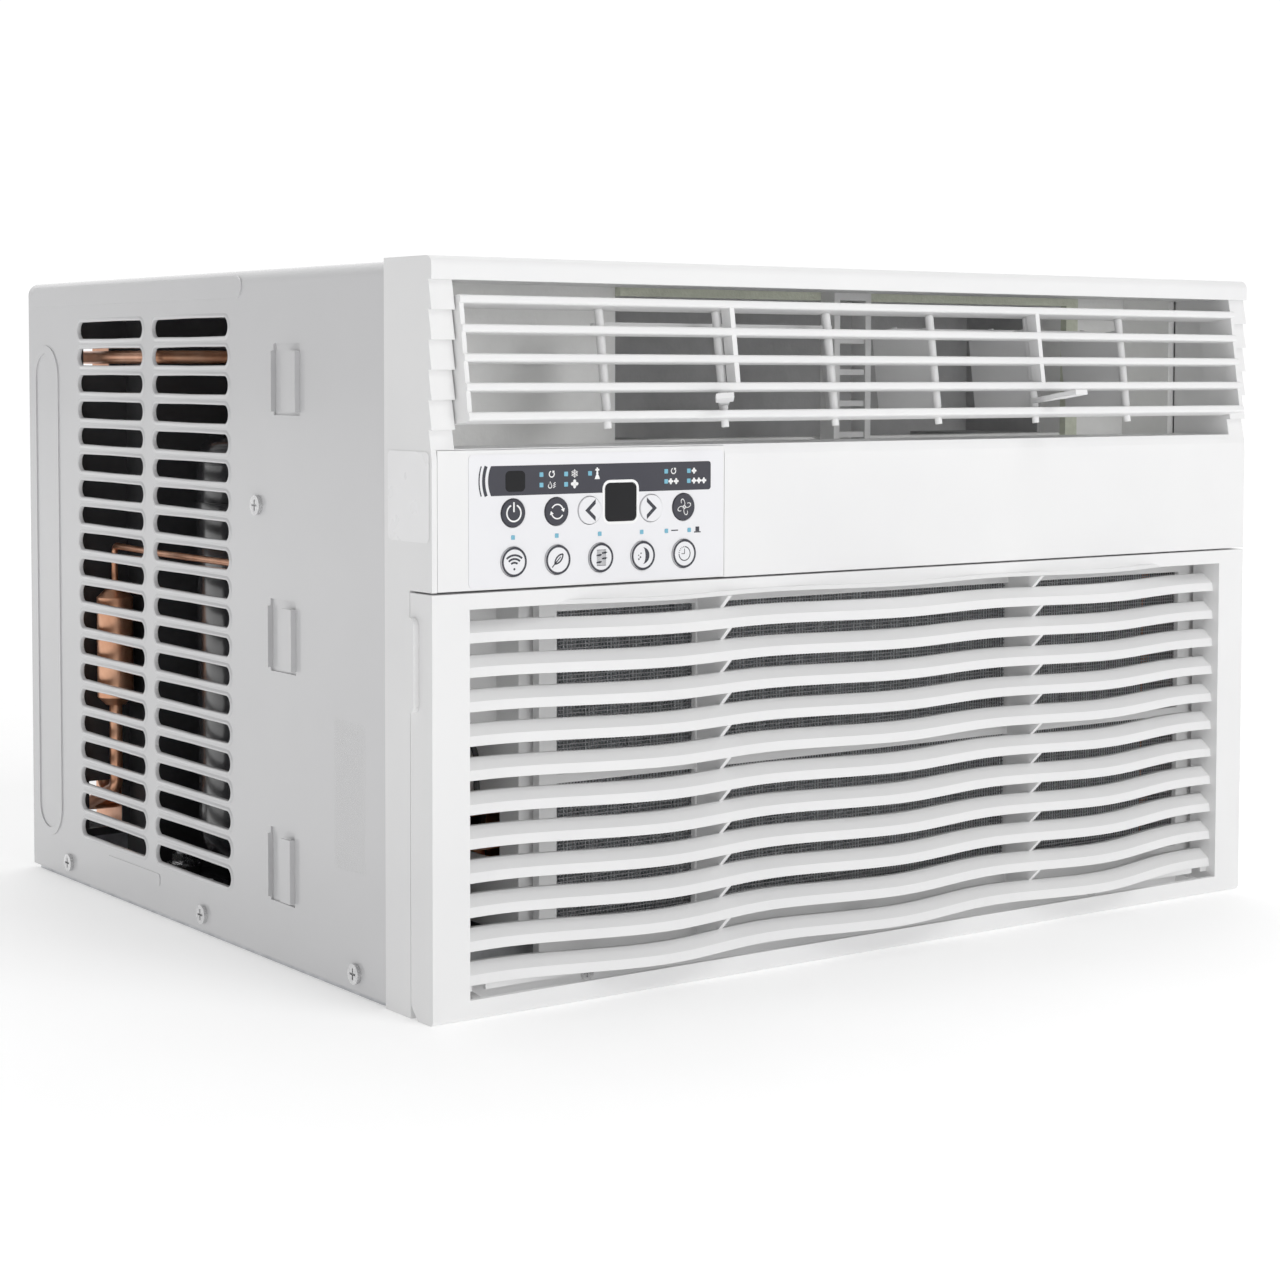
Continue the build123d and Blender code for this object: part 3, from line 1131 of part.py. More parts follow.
DRIER_X = -221.0
DRIER_DEPTH = 332.0
with BuildPart() as filter_drier:
    with BuildSketch(Plane.XY.offset(92)):
        with Locations((DRIER_X, depth(DRIER_DEPTH))):
            Circle(9)
    extrude(amount=58)
    chamfer(edges().filter_by(GeomType.CIRCLE), 4)
save(filter_drier, "filter_drier")

with BuildPart() as liquid_line:
    tube([(COND_LEFT - 1.2, depth(370), 36), (DRIER_X, depth(370), 36), (DRIER_X, depth(DRIER_DEPTH), 50),
          (DRIER_X, depth(DRIER_DEPTH), 92)], THIN_R, 6)
    tube([(DRIER_X, depth(DRIER_DEPTH), 150), (DRIER_X, depth(DRIER_DEPTH), 172),
          (-226, depth(DRIER_DEPTH - 60), 172), (-226, depth(180), 172), (-226, depth(180), 84),
          (-196, depth(150), 84), (-196, depth(100), 84), (-182, depth(100), 84),
          (-182, depth(68), 84), (-182, depth(68), 70), (-161.2, depth(68), 70)], 1.6, 4)
save(liquid_line, "liquid_line")

with BuildPart() as cord_grommet:
    centre = (WRAP_HALF_W - SHEET - 3, depth(CORD_DEPTH), CORD_Z)
    with BuildSketch(Plane(origin=centre, x_dir=(0, 1, 0), z_dir=(1, 0, 0))):
        Circle(9.5)
        Circle(3.7, mode=Mode.SUBTRACT)
    extrude(amount=3)
    with BuildSketch(Plane(origin=centre, x_dir=(0, 1, 0), z_dir=(1, 0, 0)).offset(3)):
        Circle(7.0)
        Circle(3.7, mode=Mode.SUBTRACT)
    extrude(amount=SHEET)
    with BuildSketch(Plane(origin=centre, x_dir=(0, 1, 0), z_dir=(1, 0, 0)).offset(3 + SHEET)):
        Circle(9.0)
        Circle(3.7, mode=Mode.SUBTRACT)
    extrude(amount=2.4)
save(cord_grommet, "cord_grommet")
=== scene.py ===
# %% [markdown]
# # A window air conditioner
# The mechanical model comes first: every part of the air conditioner is already placed, in metres,
# with the flat front looking along -Y and the base standing on Z = 0. This lesson gives each part
# its surface and adds the fine work that a mechanical model leaves out: rolled slot edges, printed
# symbols, the threads of the dust filter, the fins of the coils and the little harness.

# %% Load the model and keep its size
import json
import math
import random

import bmesh
import bpy
from mathutils import Matrix, Vector


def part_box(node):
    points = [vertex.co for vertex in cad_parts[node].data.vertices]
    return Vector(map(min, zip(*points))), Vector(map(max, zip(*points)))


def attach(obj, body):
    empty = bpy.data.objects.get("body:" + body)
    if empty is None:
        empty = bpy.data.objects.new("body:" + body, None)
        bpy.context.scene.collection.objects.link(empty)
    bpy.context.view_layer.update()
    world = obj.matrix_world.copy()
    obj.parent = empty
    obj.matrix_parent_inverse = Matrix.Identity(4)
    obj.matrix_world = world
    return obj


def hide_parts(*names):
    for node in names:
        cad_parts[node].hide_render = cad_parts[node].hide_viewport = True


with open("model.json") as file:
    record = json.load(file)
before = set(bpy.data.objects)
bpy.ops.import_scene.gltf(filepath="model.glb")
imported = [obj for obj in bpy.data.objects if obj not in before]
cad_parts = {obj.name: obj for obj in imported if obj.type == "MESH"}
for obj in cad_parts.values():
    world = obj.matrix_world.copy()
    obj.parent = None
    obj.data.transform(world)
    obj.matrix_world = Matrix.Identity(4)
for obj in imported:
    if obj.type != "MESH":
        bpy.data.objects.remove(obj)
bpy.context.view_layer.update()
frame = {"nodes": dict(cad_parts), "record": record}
nodes = frame["nodes"]
record = frame["record"]

# %% [markdown]
# ## Measures that several steps share
# The front plane and the height of the overlay are read from the parts themselves, so a change
# in the model moves everything that sits on them. The skin of the cabinet is a given number.

# %% Shared measures
MM = 0.001
FRONT_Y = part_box("control_panel")[0].y
OVERLAY_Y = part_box("control_overlay")[0].y
SIDE_X = 235.4 * MM
body_of_node = {}
for body_name, members in record["behaviour"]["bodies"].items():
    for member in members:
        body_of_node[member] = body_name
print("front plane at", round(FRONT_Y, 4), "overlay skin at", round(OVERLAY_Y, 4))


def behind(mm):
    """Y of a point this many millimetres behind the flat front."""
    return FRONT_Y + mm * MM


# %% [markdown]
# ## Surfaces
# A painted panel or a moulded cover is never one flat colour. Each finish here is a Principled
# shader fed by three noises in the object's own coordinates: a broad one drifts the colour, a
# middle one drifts the gloss, and a fine one gives the skin its grain. An image could do the same,
# but noise needs no unwrapping and stays sharp at any distance.


# %% A helper for grained finishes
def finish(name, dark, light, rough, rough_drift=0.05, metallic=0.0, cloud=12.0, grain=900.0,
           relief=0.00004, stretch=(1, 1, 1), coat=0.0, sheen=0.0, specular=0.5):
    """Principled surface with drifting colour, drifting gloss and a fine grain."""
    surface = bpy.data.materials.new(name)
    surface.use_nodes = True
    tree = surface.node_tree
    shader = tree.nodes["Principled BSDF"]
    shader.inputs["Metallic"].default_value = metallic
    shader.inputs["Coat Weight"].default_value = coat
    shader.inputs["Coat Roughness"].default_value = 0.12
    shader.inputs["Sheen Weight"].default_value = sheen
    shader.inputs["Specular IOR Level"].default_value = specular
    place = tree.nodes.new("ShaderNodeTexCoord")
    mapping = tree.nodes.new("ShaderNodeMapping")
    mapping.inputs["Scale"].default_value = stretch
    tree.links.new(place.outputs["Object"], mapping.inputs["Vector"])

    def noise(scale, detail):
        node = tree.nodes.new("ShaderNodeTexNoise")
        node.inputs["Scale"].default_value = scale
        node.inputs["Detail"].default_value = detail
        tree.links.new(mapping.outputs["Vector"], node.inputs["Vector"])
        return node.outputs["Fac"]

    ramp = tree.nodes.new("ShaderNodeValToRGB")
    ramp.color_ramp.elements[0].position = 0.3
    ramp.color_ramp.elements[0].color = (*dark, 1)
    ramp.color_ramp.elements[1].position = 0.7
    ramp.color_ramp.elements[1].color = (*light, 1)
    tree.links.new(noise(cloud, 3.0), ramp.inputs["Fac"])
    tree.links.new(ramp.outputs["Color"], shader.inputs["Base Color"])
    gloss = tree.nodes.new("ShaderNodeMapRange")
    gloss.inputs["From Min"].default_value = 0.3
    gloss.inputs["From Max"].default_value = 0.7
    gloss.inputs["To Min"].default_value = rough - rough_drift
    gloss.inputs["To Max"].default_value = rough + rough_drift
    tree.links.new(noise(cloud * 6, 4.0), gloss.inputs["Value"])
    tree.links.new(gloss.outputs["Result"], shader.inputs["Roughness"])
    bump = tree.nodes.new("ShaderNodeBump")
    bump.inputs["Strength"].default_value = 0.6
    bump.inputs["Distance"].default_value = relief
    tree.links.new(noise(grain, 2.0), bump.inputs["Height"])
    tree.links.new(bump.outputs["Normal"], shader.inputs["Normal"])
    return surface


# %% [markdown]
# ## The finishes of this machine
# The front is white moulded plastic with a very fine spark-eroded grain. The cabinet is galvanised
# steel under a glossy light grey paint that has a faint orange peel. Inside are foam, copper,
# aluminium fins and black enamel.

# %% Finishes by material slot
finishes = {
    "white_plastic": finish("white moulded plastic", (0.78, 0.78, 0.785), (0.82, 0.82, 0.82), 0.42,
                            grain=2600, relief=0.00002),
    "cabinet_steel": finish("grey painted steel", (0.56, 0.56, 0.57), (0.585, 0.585, 0.595), 0.2,
                            rough_drift=0.03, grain=420, relief=0.000008, coat=0.6),
    "pan_steel": finish("galvanised steel", (0.42, 0.43, 0.45), (0.60, 0.61, 0.63), 0.42,
                        metallic=0.9, cloud=90, grain=700),
    "screw_steel": finish("zinc plated screw", (0.55, 0.55, 0.56), (0.72, 0.72, 0.72), 0.26,
                          metallic=1.0, cloud=300, grain=2500),
    "overlay": finish("pale overlay film", (0.775, 0.775, 0.80), (0.80, 0.80, 0.825), 0.38,
                      grain=3000, relief=0.00001),
    "black_window": finish("black window film", (0.006, 0.006, 0.007), (0.010, 0.010, 0.011), 0.16,
                           grain=800, relief=0.000005, specular=0.15),
    "blue_lens": finish("blue lamp lens", (0.13, 0.38, 0.52), (0.17, 0.44, 0.58), 0.4, cloud=700,
                        specular=0.25),
    "dark_button": finish("dark grey button", (0.034, 0.034, 0.044), (0.042, 0.042, 0.052), 0.5,
                          grain=3000, relief=0.00001, specular=0.2),
    "light_button": finish("pale button", (0.775, 0.775, 0.80), (0.80, 0.80, 0.825), 0.4,
                           grain=3000, relief=0.00001),
    "board": finish("green circuit board", (0.02, 0.13, 0.05), (0.03, 0.19, 0.07), 0.4, cloud=200),
    "filter_white": finish("white filter plastic", (0.74, 0.74, 0.74), (0.80, 0.80, 0.80), 0.5,
                           grain=2000, relief=0.00002),
    "mesh": finish("filter thread", (0.13, 0.13, 0.135), (0.20, 0.20, 0.205), 0.6, cloud=400),
    "foam": finish("white foam", (0.91, 0.91, 0.90), (0.95, 0.95, 0.94), 0.85, cloud=120,
                   grain=380, relief=0.0003),
    "gasket": finish("pale green sealing foam", (0.62, 0.65, 0.52), (0.70, 0.73, 0.60), 0.95,
                     cloud=300, grain=900, relief=0.0004, sheen=0.3),
    "fin_aluminium": finish("aluminium fin", (0.74, 0.76, 0.78), (0.86, 0.88, 0.90), 0.42,
                            metallic=0.55, cloud=60, grain=1200),
    "copper": finish("copper tube", (0.62, 0.27, 0.15), (0.80, 0.42, 0.26), 0.34,
                     metallic=1.0, cloud=80, grain=700),
    "dark_plastic": finish("black moulded plastic", (0.018, 0.018, 0.02), (0.03, 0.03, 0.032), 0.5),
    "motor_steel": finish("motor casing", (0.30, 0.31, 0.33), (0.40, 0.41, 0.43), 0.4,
                          metallic=0.8, cloud=70),
    "shaft_steel": finish("turned steel", (0.50, 0.50, 0.51), (0.66, 0.66, 0.67), 0.25,
                          metallic=1.0, cloud=40, stretch=(1, 12, 1)),
    "compressor_black": finish("black enamel", (0.012, 0.012, 0.014), (0.02, 0.02, 0.022), 0.22,
                               grain=300, relief=0.00006, coat=0.4),
    "rubber": finish("black rubber", (0.015, 0.015, 0.015), (0.03, 0.03, 0.03), 0.8, grain=1500),
    "capacitor_can": finish("drawn aluminium can", (0.46, 0.47, 0.48), (0.60, 0.61, 0.62), 0.35,
                            metallic=0.9, stretch=(1, 1, 0.05), cloud=400),
}
# The blower scroll is foam like the duct, but it is coloured grey: painted shade for the deep, dark
# inside of the scroll.
finishes["scroll_foam"] = finish("scroll foam greyed as painted shade", (0.42, 0.42, 0.425), (0.48, 0.48, 0.485), 0.9,
                                 cloud=90, grain=380, relief=0.0003)
printed = {
    "ink": finish("dark printing ink", (0.034, 0.034, 0.044), (0.042, 0.042, 0.052), 0.5, specular=0.2),
    "white_ink": finish("white printing ink", (0.86, 0.86, 0.86), (0.90, 0.90, 0.90), 0.45),
}
for part in record["subparts"]:
    cad = nodes[part["node"]]
    for index in range(max(1, len(cad.data.materials))):
        if len(cad.data.materials) == 0:
            cad.data.materials.append(finishes[part["material_slot"]])
        else:
            cad.data.materials[index] = finishes[part["material_slot"]]
# The scroll takes the grey foam, whose colour is painted shade for its dark inside.
nodes["blower_scroll"].data.materials[0] = finishes["scroll_foam"]
slot_of_node = {part["node"]: part["material_slot"] for part in record["subparts"]}
print(len(finishes) + len(printed), "finishes on", len(nodes), "parts")

# %% [markdown]
# ## Small tools for small pieces
# Every added piece is one mesh that rides on the body it belongs to, so it follows when a button
# is pressed or a louver tips. `piece` closes a bmesh into such an object.


# %% Finish a bmesh into a riding piece
def piece(name, bm, surface, body, smooth=False):
    """Mesh object from a bmesh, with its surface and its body."""
    mesh = bpy.data.meshes.new(name)
    bm.to_mesh(mesh)
    bm.free()
    for polygon in mesh.polygons:
        polygon.use_smooth = smooth
    made = bpy.data.objects.new(name, mesh)
    bpy.context.scene.collection.objects.link(made)
    made.data.materials.append(surface)
    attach(made, body)
    return made


def add_box(bm, low, high):
    """Box between two corners, added to a bmesh."""
    middle = (Vector(low) + Vector(high)) / 2
    size = Vector(high) - Vector(low)
    made = bmesh.ops.create_cube(bm, size=1.0)["verts"]
    bmesh.ops.scale(bm, vec=size, verts=made)
    bmesh.ops.translate(bm, vec=middle, verts=made)
    return made


# %% [markdown]
# ## Softened edges
# Moulded plastic and bent steel have no razor edges: a radius of a few tenths of a millimetre
# catches the light and is what makes a cover look real. The parts arrive as loose triangles, so a
# copy is welded, its flat areas are joined again, and a narrow Bevel modifier rounds what is
# sharper than a fixed angle. The copy stands for the part in the picture; the part itself stays
# for the mechanics.


# %% Round the edges of the moulded parts
def soften(node, width, segments=2):
    """Welded copy of a part with narrow rounded edges."""
    bm = bmesh.new()
    bm.from_mesh(nodes[node].data)
    bmesh.ops.remove_doubles(bm, verts=bm.verts, dist=0.00001)
    bmesh.ops.dissolve_limit(bm, angle_limit=math.radians(1.0), verts=bm.verts, edges=bm.edges)
    made = piece(node + "_soft", bm, finishes[slot_of_node[node]], body_of_node[node])
    bevel = made.modifiers.new("rounded edges", "BEVEL")
    bevel.width = width
    bevel.segments = segments
    bevel.limit_method = "ANGLE"
    bevel.angle_limit = math.radians(32)
    bevel.use_clamp_overlap = True
    bevel.harden_normals = False
    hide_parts(node)
    return made


EDGE_WIDTHS = {"front_frame": 0.8, "intake_grille": 0.6, "louver_frame": 0.35,
               "control_panel": 0.3, "cabinet_wrapper": 0.4, "filter_frame": 0.4,
               "control_box": 0.4}
for node, width in EDGE_WIDTHS.items():
    softened = soften(node, width * MM)
    print(node, "welded to", len(softened.data.polygons), "faces")

# %% [markdown]
# ## Rolled slot edges
# The cooling slots are pressed through the sheet and their rims are rolled a little outwards, which
# stiffens the bars between them. One rim is a loop of circle points pulled apart into an obround,
# copied at three offsets and bridged into a lip.


# %% One lip, then forty on each side
SLOT_COLUMNS = ((176.1, 254.7), (265.5, 341.2))
SLOT_ROWS = 20
TOP_SLOT_Z = 279.2
SLOT_PITCH = 13.09
SLOT_RADIUS = 4.35
LIP_PROFILE = ((0.02, 1.9), (0.45, 1.1), (0.5, 0.5), (0.2, 0.05), (-1.4, -0.1))


def obround(bm, x, y, z, half_run, radius, points=20):
    """Closed edge loop round a slot in a side wall."""
    loop = bmesh.ops.create_circle(bm, segments=points, radius=radius)["verts"]
    bmesh.ops.rotate(bm, verts=loop, cent=(0, 0, 0), matrix=Matrix.Rotation(math.pi / 2, 3, "Y"))
    for corner in loop:
        if abs(corner.co.y) > radius * 0.01:
            corner.co.y += math.copysign(half_run, corner.co.y)
        corner.co += Vector((x, y, z))
    edges = list({edge for corner in loop for edge in corner.link_edges})
    return edges


def slot_lips(side):
    """Lips of all slots of one side wall: side is -1 for the left, 1 for the right."""
    bm = bmesh.new()
    for first, last in SLOT_COLUMNS:
        for row in range(SLOT_ROWS):
            centre_y = behind((first + last) / 2)
            centre_z = (TOP_SLOT_Z - row * SLOT_PITCH) * MM
            half_run = ((last - first) / 2 - SLOT_RADIUS) * MM
            rings = []
            for lift, spread in LIP_PROFILE:
                rings.append(obround(bm, side * (SIDE_X + lift * MM), centre_y, centre_z, half_run,
                                     (SLOT_RADIUS + spread) * MM))
            for near, far in zip(rings, rings[1:]):
                bmesh.ops.bridge_loops(bm, edges=near + far)
    bmesh.ops.recalc_face_normals(bm, faces=bm.faces)
    return bm


for side, label in ((-1, "left"), (1, "right")):
    lips = piece(label + "_slot_lips", slot_lips(side), finishes["cabinet_steel"], "cabinet",
                 smooth=True)
    print(label, "lips:", len(lips.data.polygons), "faces")

# %% [markdown]
# ## Dust filter
# The filter is a woven net of dark threads in a white frame. A textured sheet would look solid from
# the side, so the threads are real: one thin box for each warp and weft thread, which costs few
# faces because each thread has only six.

# %% Weave the filter net
net_low, net_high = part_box("filter_mesh")
THREAD = 0.38 * MM
PITCH = 1.6 * MM
net = bmesh.new()
columns = int((net_high.x - net_low.x) / PITCH)
rows = int((net_high.z - net_low.z) / PITCH)
net_y = (net_low.y + net_high.y) / 2
for column in range(columns + 1):
    x = net_low.x + column * (net_high.x - net_low.x - THREAD) / columns
    add_box(net, (x, net_y, net_low.z), (x + THREAD, net_y + THREAD, net_high.z))
for row in range(rows + 1):
    z = net_low.z + row * (net_high.z - net_low.z - THREAD) / rows
    add_box(net, (net_low.x, net_y - THREAD, z), (net_high.x, net_y, z + THREAD))
net_piece = piece("filter_net", net, finishes["mesh"], "grille")
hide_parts("filter_mesh")
print("filter net:", columns + 1, "by", rows + 1, "threads")

# %% [markdown]
# ## Coil fins
# The two heat exchangers are stacks of thin aluminium leaves on copper tubes. Each leaf is a flat
# box and the stack is a row of them; a dark core sheet inside would be cheaper, but the open gaps
# give the coil its fine shadow lines.


# %% Stack the fins
def fin_stack(node, pitch, leaf):
    """Row of thin upright leaves that fills the part's box."""
    low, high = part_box(node)
    bm = bmesh.new()
    count = int((high.x - low.x) / pitch)
    for index in range(count + 1):
        x = low.x + index * (high.x - low.x - leaf) / count
        add_box(bm, (x, low.y, low.z), (x + leaf, high.y, high.z))
    made = piece(node + "_leaves", bm, finishes["fin_aluminium"], body_of_node[node])
    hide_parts(node)
    print(node, count + 1, "leaves")


FIN_PITCH = 1.9 * MM
FIN_LEAF = 0.25 * MM
fin_stack("evaporator_fins", FIN_PITCH, FIN_LEAF)
fin_stack("condenser_fins", FIN_PITCH, FIN_LEAF)

# %% [markdown]
# ## Printing on the control overlay
# The signs are screen printed. Each one is drawn flat as a bar, disc or ring with its middle at the
# origin, given a hair of thickness and set down in the front plane. Real thin shapes stay crisp at
# any distance, where a painted image would blur. Where a machine would carry words, plain signs
# take their place.

# %% Flat shapes to print with
INK = 0.05 * MM


def flat_bar(width, height, corner=0.0):
    """Flat rectangle, with rounded corners if asked; all measures in millimetres."""
    shape = bmesh.new()
    bmesh.ops.create_grid(shape, x_segments=1, y_segments=1, size=0.5)
    bmesh.ops.scale(shape, vec=(width * MM, height * MM, 1), verts=shape.verts)
    if corner:
        bmesh.ops.bevel(shape, geom=shape.verts[:], offset=corner * MM, offset_type="OFFSET",
                        segments=5, profile=0.5, affect="VERTICES", material=-1)
    return shape


def flat_disc(radius, points=20, squeeze=1.0, out=0.0):
    """Flat disc, or an oval if squeezed, moved up from the origin."""
    shape = bmesh.new()
    bmesh.ops.create_circle(shape, cap_ends=True, segments=points, radius=radius * MM)
    bmesh.ops.scale(shape, vec=(squeeze, 1, 1), verts=shape.verts)
    bmesh.ops.translate(shape, vec=(0, out * MM, 0), verts=shape.verts)
    return shape


def flat_ring(radius, width, start=0.0, sweep=360.0, steps=28, squeeze=1.0, out=0.0):
    """Flat ring or part of one, from a start angle, anticlockwise."""
    shape = bmesh.new()
    ends = [shape.verts.new(((radius + side * width / 2) * MM, 0, 0)) for side in (-1, 1)]
    rim = shape.edges.new(ends)
    bmesh.ops.spin(shape, geom=ends + [rim], cent=(0, 0, 0), axis=(0, 0, 1),
                   angle=math.radians(sweep), steps=steps, use_merge=sweep >= 360)
    bmesh.ops.rotate(shape, verts=shape.verts, cent=(0, 0, 0),
                     matrix=Matrix.Rotation(math.radians(start), 3, "Z"))
    bmesh.ops.scale(shape, vec=(squeeze, 1, 1), verts=shape.verts)
    bmesh.ops.translate(shape, vec=(0, out * MM, 0), verts=shape.verts)
    return shape


def flat_outline(*corners):
    """Flat shape with the corners given, in millimetres."""
    shape = bmesh.new()
    shape.faces.new([shape.verts.new((x * MM, z * MM, 0)) for x, z in corners])
    return shape


def set_down(target, shape, x, z, y, turn=0.0, thick=INK):
    """Thicken a flat shape, turn it, and add it to a print in the front plane."""
    grown = bmesh.ops.extrude_face_region(shape, geom=shape.faces[:])["geom"]
    raised = [part for part in grown if isinstance(part, bmesh.types.BMVert)]
    bmesh.ops.translate(shape, vec=(0, 0, thick), verts=raised)
    bmesh.ops.recalc_face_normals(shape, faces=shape.faces)
    bmesh.ops.rotate(shape, verts=shape.verts, cent=(0, 0, 0),
                     matrix=Matrix.Rotation(math.radians(turn), 3, "Z"))
    bmesh.ops.rotate(shape, verts=shape.verts, cent=(0, 0, 0),
                     matrix=Matrix.Rotation(math.pi / 2, 3, "X"))
    bmesh.ops.translate(shape, vec=(x * MM, y, z * MM), verts=shape.verts)
    carrier = bpy.data.meshes.new("carrier")
    shape.to_mesh(carrier)
    shape.free()
    target.from_mesh(carrier)
    bpy.data.meshes.remove(carrier)


# %% [markdown]
# ## The dark status band
# A dark band runs across the top of the overlay. Its left end bows like a bracket and is echoed by
# two slim arcs; its right corners are rounded. The band starts as one rectangle whose left edge is
# cut into short pieces and pushed out along a circle.

# %% Print the band and its arcs
BAND = (-208.8, -99.0, 210.0, 222.0)
BAND_HALF_HEIGHT = (BAND[3] - BAND[2]) / 2
BOW_RADIUS = 13.6
band = flat_bar(BAND[1] - BAND[0], BAND[3] - BAND[2])
half_width = (BAND[1] - BAND[0]) / 2 * MM
left_edge = [edge for edge in band.edges if all(vert.co.x < 0 for vert in edge.verts)]
bmesh.ops.subdivide_edges(band, edges=left_edge, cuts=11)
for vert in band.verts:
    if vert.co.x < -half_width + 0.01 * MM:
        reach = math.sqrt((BOW_RADIUS * MM) ** 2 - vert.co.y ** 2)
        vert.co.x -= reach - math.sqrt((BOW_RADIUS * MM) ** 2 - (BAND_HALF_HEIGHT * MM) ** 2)
bmesh.ops.bevel(band, geom=[vert for vert in band.verts if vert.co.x > half_width - 0.01 * MM],
                offset=1.3 * MM, offset_type="OFFSET", segments=5, profile=0.5,
                affect="VERTICES", material=-1)
band_print = bmesh.new()
band_z = (BAND[2] + BAND[3]) / 2
set_down(band_print, band, (BAND[0] + BAND[1]) / 2, band_z, OVERLAY_Y)
for radius, width in ((15.65, 1.5), (17.8, 0.6)):
    half_sweep = math.degrees(math.asin(BAND_HALF_HEIGHT / radius))
    arc = flat_ring(radius, width, 180 - half_sweep, 2 * half_sweep, steps=10)
    set_down(band_print, arc, BAND[0] - 1.4 + BOW_RADIUS, band_z, OVERLAY_Y)
band_piece = piece("status_band", band_print, printed["ink"], "cabinet")
print("status band:", len(band_piece.data.polygons), "faces")

# %% [markdown]
# ## White rim round the display
# The display sits in a white rounded rim that bites into the band. A rounded square is inset once
# and its middle face is removed, which keeps the rim the same width all round.

# %% Rim of the display
DISPLAY_X, DISPLAY_Z = -145.6, 206.0
rim = flat_bar(18.3, 18.3, corner=3.6)
bmesh.ops.inset_individual(rim, faces=rim.faces[:], thickness=1.1 * MM, depth=0.0)
bmesh.ops.delete(rim, geom=[min(rim.faces, key=lambda face: face.calc_center_median().length)],
                 context="FACES")
rim_print = bmesh.new()
set_down(rim_print, rim, DISPLAY_X, DISPLAY_Z, OVERLAY_Y, thick=0.12 * MM)
rim_piece = piece("display_rim", rim_print, printed["white_ink"], "cabinet")
print("display rim:", len(rim_piece.data.polygons), "faces")

# %% [markdown]
# ## Lamps
# Fifteen small lamps shine through square windows in the overlay. Each is a pale blue square with
# rounded corners; the cone of light behind it isn't seen, so the square stands for the whole lamp.

# %% Square lamp windows
LAMPS = [(-198.4, 193.2), (-177.3, 193.2), (-156.1, 193.2), (-134.9, 193.2), (-122.2, 193.2),
         (-110.3, 193.2)]
LAMPS += [(x, z) for x in (-184.8, -172.8, -122.4, -110.6) for z in (218.1, 213.9)] + [(-161.0, 218.1)]
lamp_print = bmesh.new()
for x, z in LAMPS:
    set_down(lamp_print, flat_bar(1.8, 1.8, corner=0.2), x, z, OVERLAY_Y, thick=0.11 * MM)
lamp_piece = piece("lamp_windows", lamp_print, finishes["blue_lens"], "cabinet")
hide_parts("indicator_lenses")
print("lamps:", len(LAMPS))

# %% [markdown]
# ## Signs beside the lamps
# White signs on the band: a round arrow for automatic, a drop for drying, a snow star for cooling,
# a fan for blowing, a figure under a fan for following the user, and one, two or three fans for the
# speed. Two dark signs beside the timer lamps mark off and on.


# %% Small signs
def fan_sign(target, x, z, y, size):
    """Four round petals about a hub."""
    for quarter in range(4):
        petal = flat_disc(size * 0.27, points=10, squeeze=0.8, out=size * 0.29)
        set_down(target, petal, x, z, y, turn=90 * quarter)


def snow_sign(target, x, z, y, size):
    """Three crossed bars with short barbs."""
    for arm in range(6):
        set_down(target, flat_outline((-0.04 * size, 0), (0.04 * size, 0), (0.04 * size, size / 2),
                                      (-0.04 * size, size / 2)), x, z, y, turn=60 * arm)
        for lean in (-1, 1):
            set_down(target, flat_outline((0, 0.26 * size), (lean * 0.16 * size, 0.42 * size),
                                          (lean * 0.16 * size, 0.34 * size), (0, 0.18 * size)),
                     x, z, y, turn=60 * arm)


def round_arrow(target, x, z, y, size):
    """Open ring that ends in an arrow head."""
    set_down(target, flat_ring(size * 0.38, size * 0.12, 110, 290, steps=16), x, z, y)
    set_down(target, flat_outline((0.16 * size, 0), (0.6 * size, 0), (0.38 * size, 0.26 * size)),
             x, z, y, turn=40)


white_signs = bmesh.new()
sign_y = OVERLAY_Y - INK
round_arrow(white_signs, -179.8, 218.2, sign_y, 3.2)
set_down(white_signs, flat_ring(0.85, 0.3, 150, 240, steps=12), -180.6, 213.4, sign_y)
for lean in (-1, 1):
    set_down(white_signs, flat_outline((lean * 0.9, 0.2), (lean * 0.6, 0.3), (-0.1, 1.75), (0.1, 1.9)),
             -180.6, 213.4, sign_y)
for row in range(3):
    set_down(white_signs, flat_bar(1.2, 0.28), -178.5, 213.0 + row * 0.75, sign_y, turn=35)
snow_sign(white_signs, -168.6, 218.2, sign_y, 3.4)
fan_sign(white_signs, -168.6, 214.0, sign_y, 3.3)
fan_sign(white_signs, -157.4, 219.5, sign_y, 1.8)
set_down(white_signs, flat_disc(0.55, points=12), -157.4, 218.1, sign_y)
set_down(white_signs, flat_outline((-1.3, -1), (1.3, -1), (0.45, 0.9), (-0.45, 0.9)), -157.4, 216.7,
         sign_y)
round_arrow(white_signs, -118.6, 218.2, sign_y, 3.0)
for x, z in ((-120.0, 213.9), (-117.2, 213.9), (-107.9, 218.1), (-107.9, 213.9), (-105.3, 213.9),
             (-102.7, 213.9)):
    fan_sign(white_signs, x, z, sign_y, 2.3)
piece("white_signs", white_signs, printed["white_ink"], "cabinet")
dark_signs = bmesh.new()
set_down(dark_signs, flat_bar(3.6, 0.5), -117.9, 193.3, OVERLAY_Y)
set_down(dark_signs, flat_bar(3.5, 0.5), -106.0, 192.2, OVERLAY_Y)
set_down(dark_signs, flat_bar(2.0, 2.0), -106.0, 193.5, OVERLAY_Y)
piece("timer_signs", dark_signs, printed["ink"], "cabinet")
print("signs beside the lamps printed")

# %% [markdown]
# ## Signs on the buttons
# Each button carries its own print, so the sign sinks with the button when it is pressed. Three
# upper buttons are dark with white signs; the others are pale with a dark ring or an arrow head.


# %% Signs of the upper row
def power_sign(target, x, z, y):
    """Open ring with an upright bar."""
    set_down(target, flat_ring(3.35, 0.6, 115, 310, steps=26), x, z, y)
    set_down(target, flat_bar(0.65, 4.0, corner=0.2), x, z + 2.4, y)


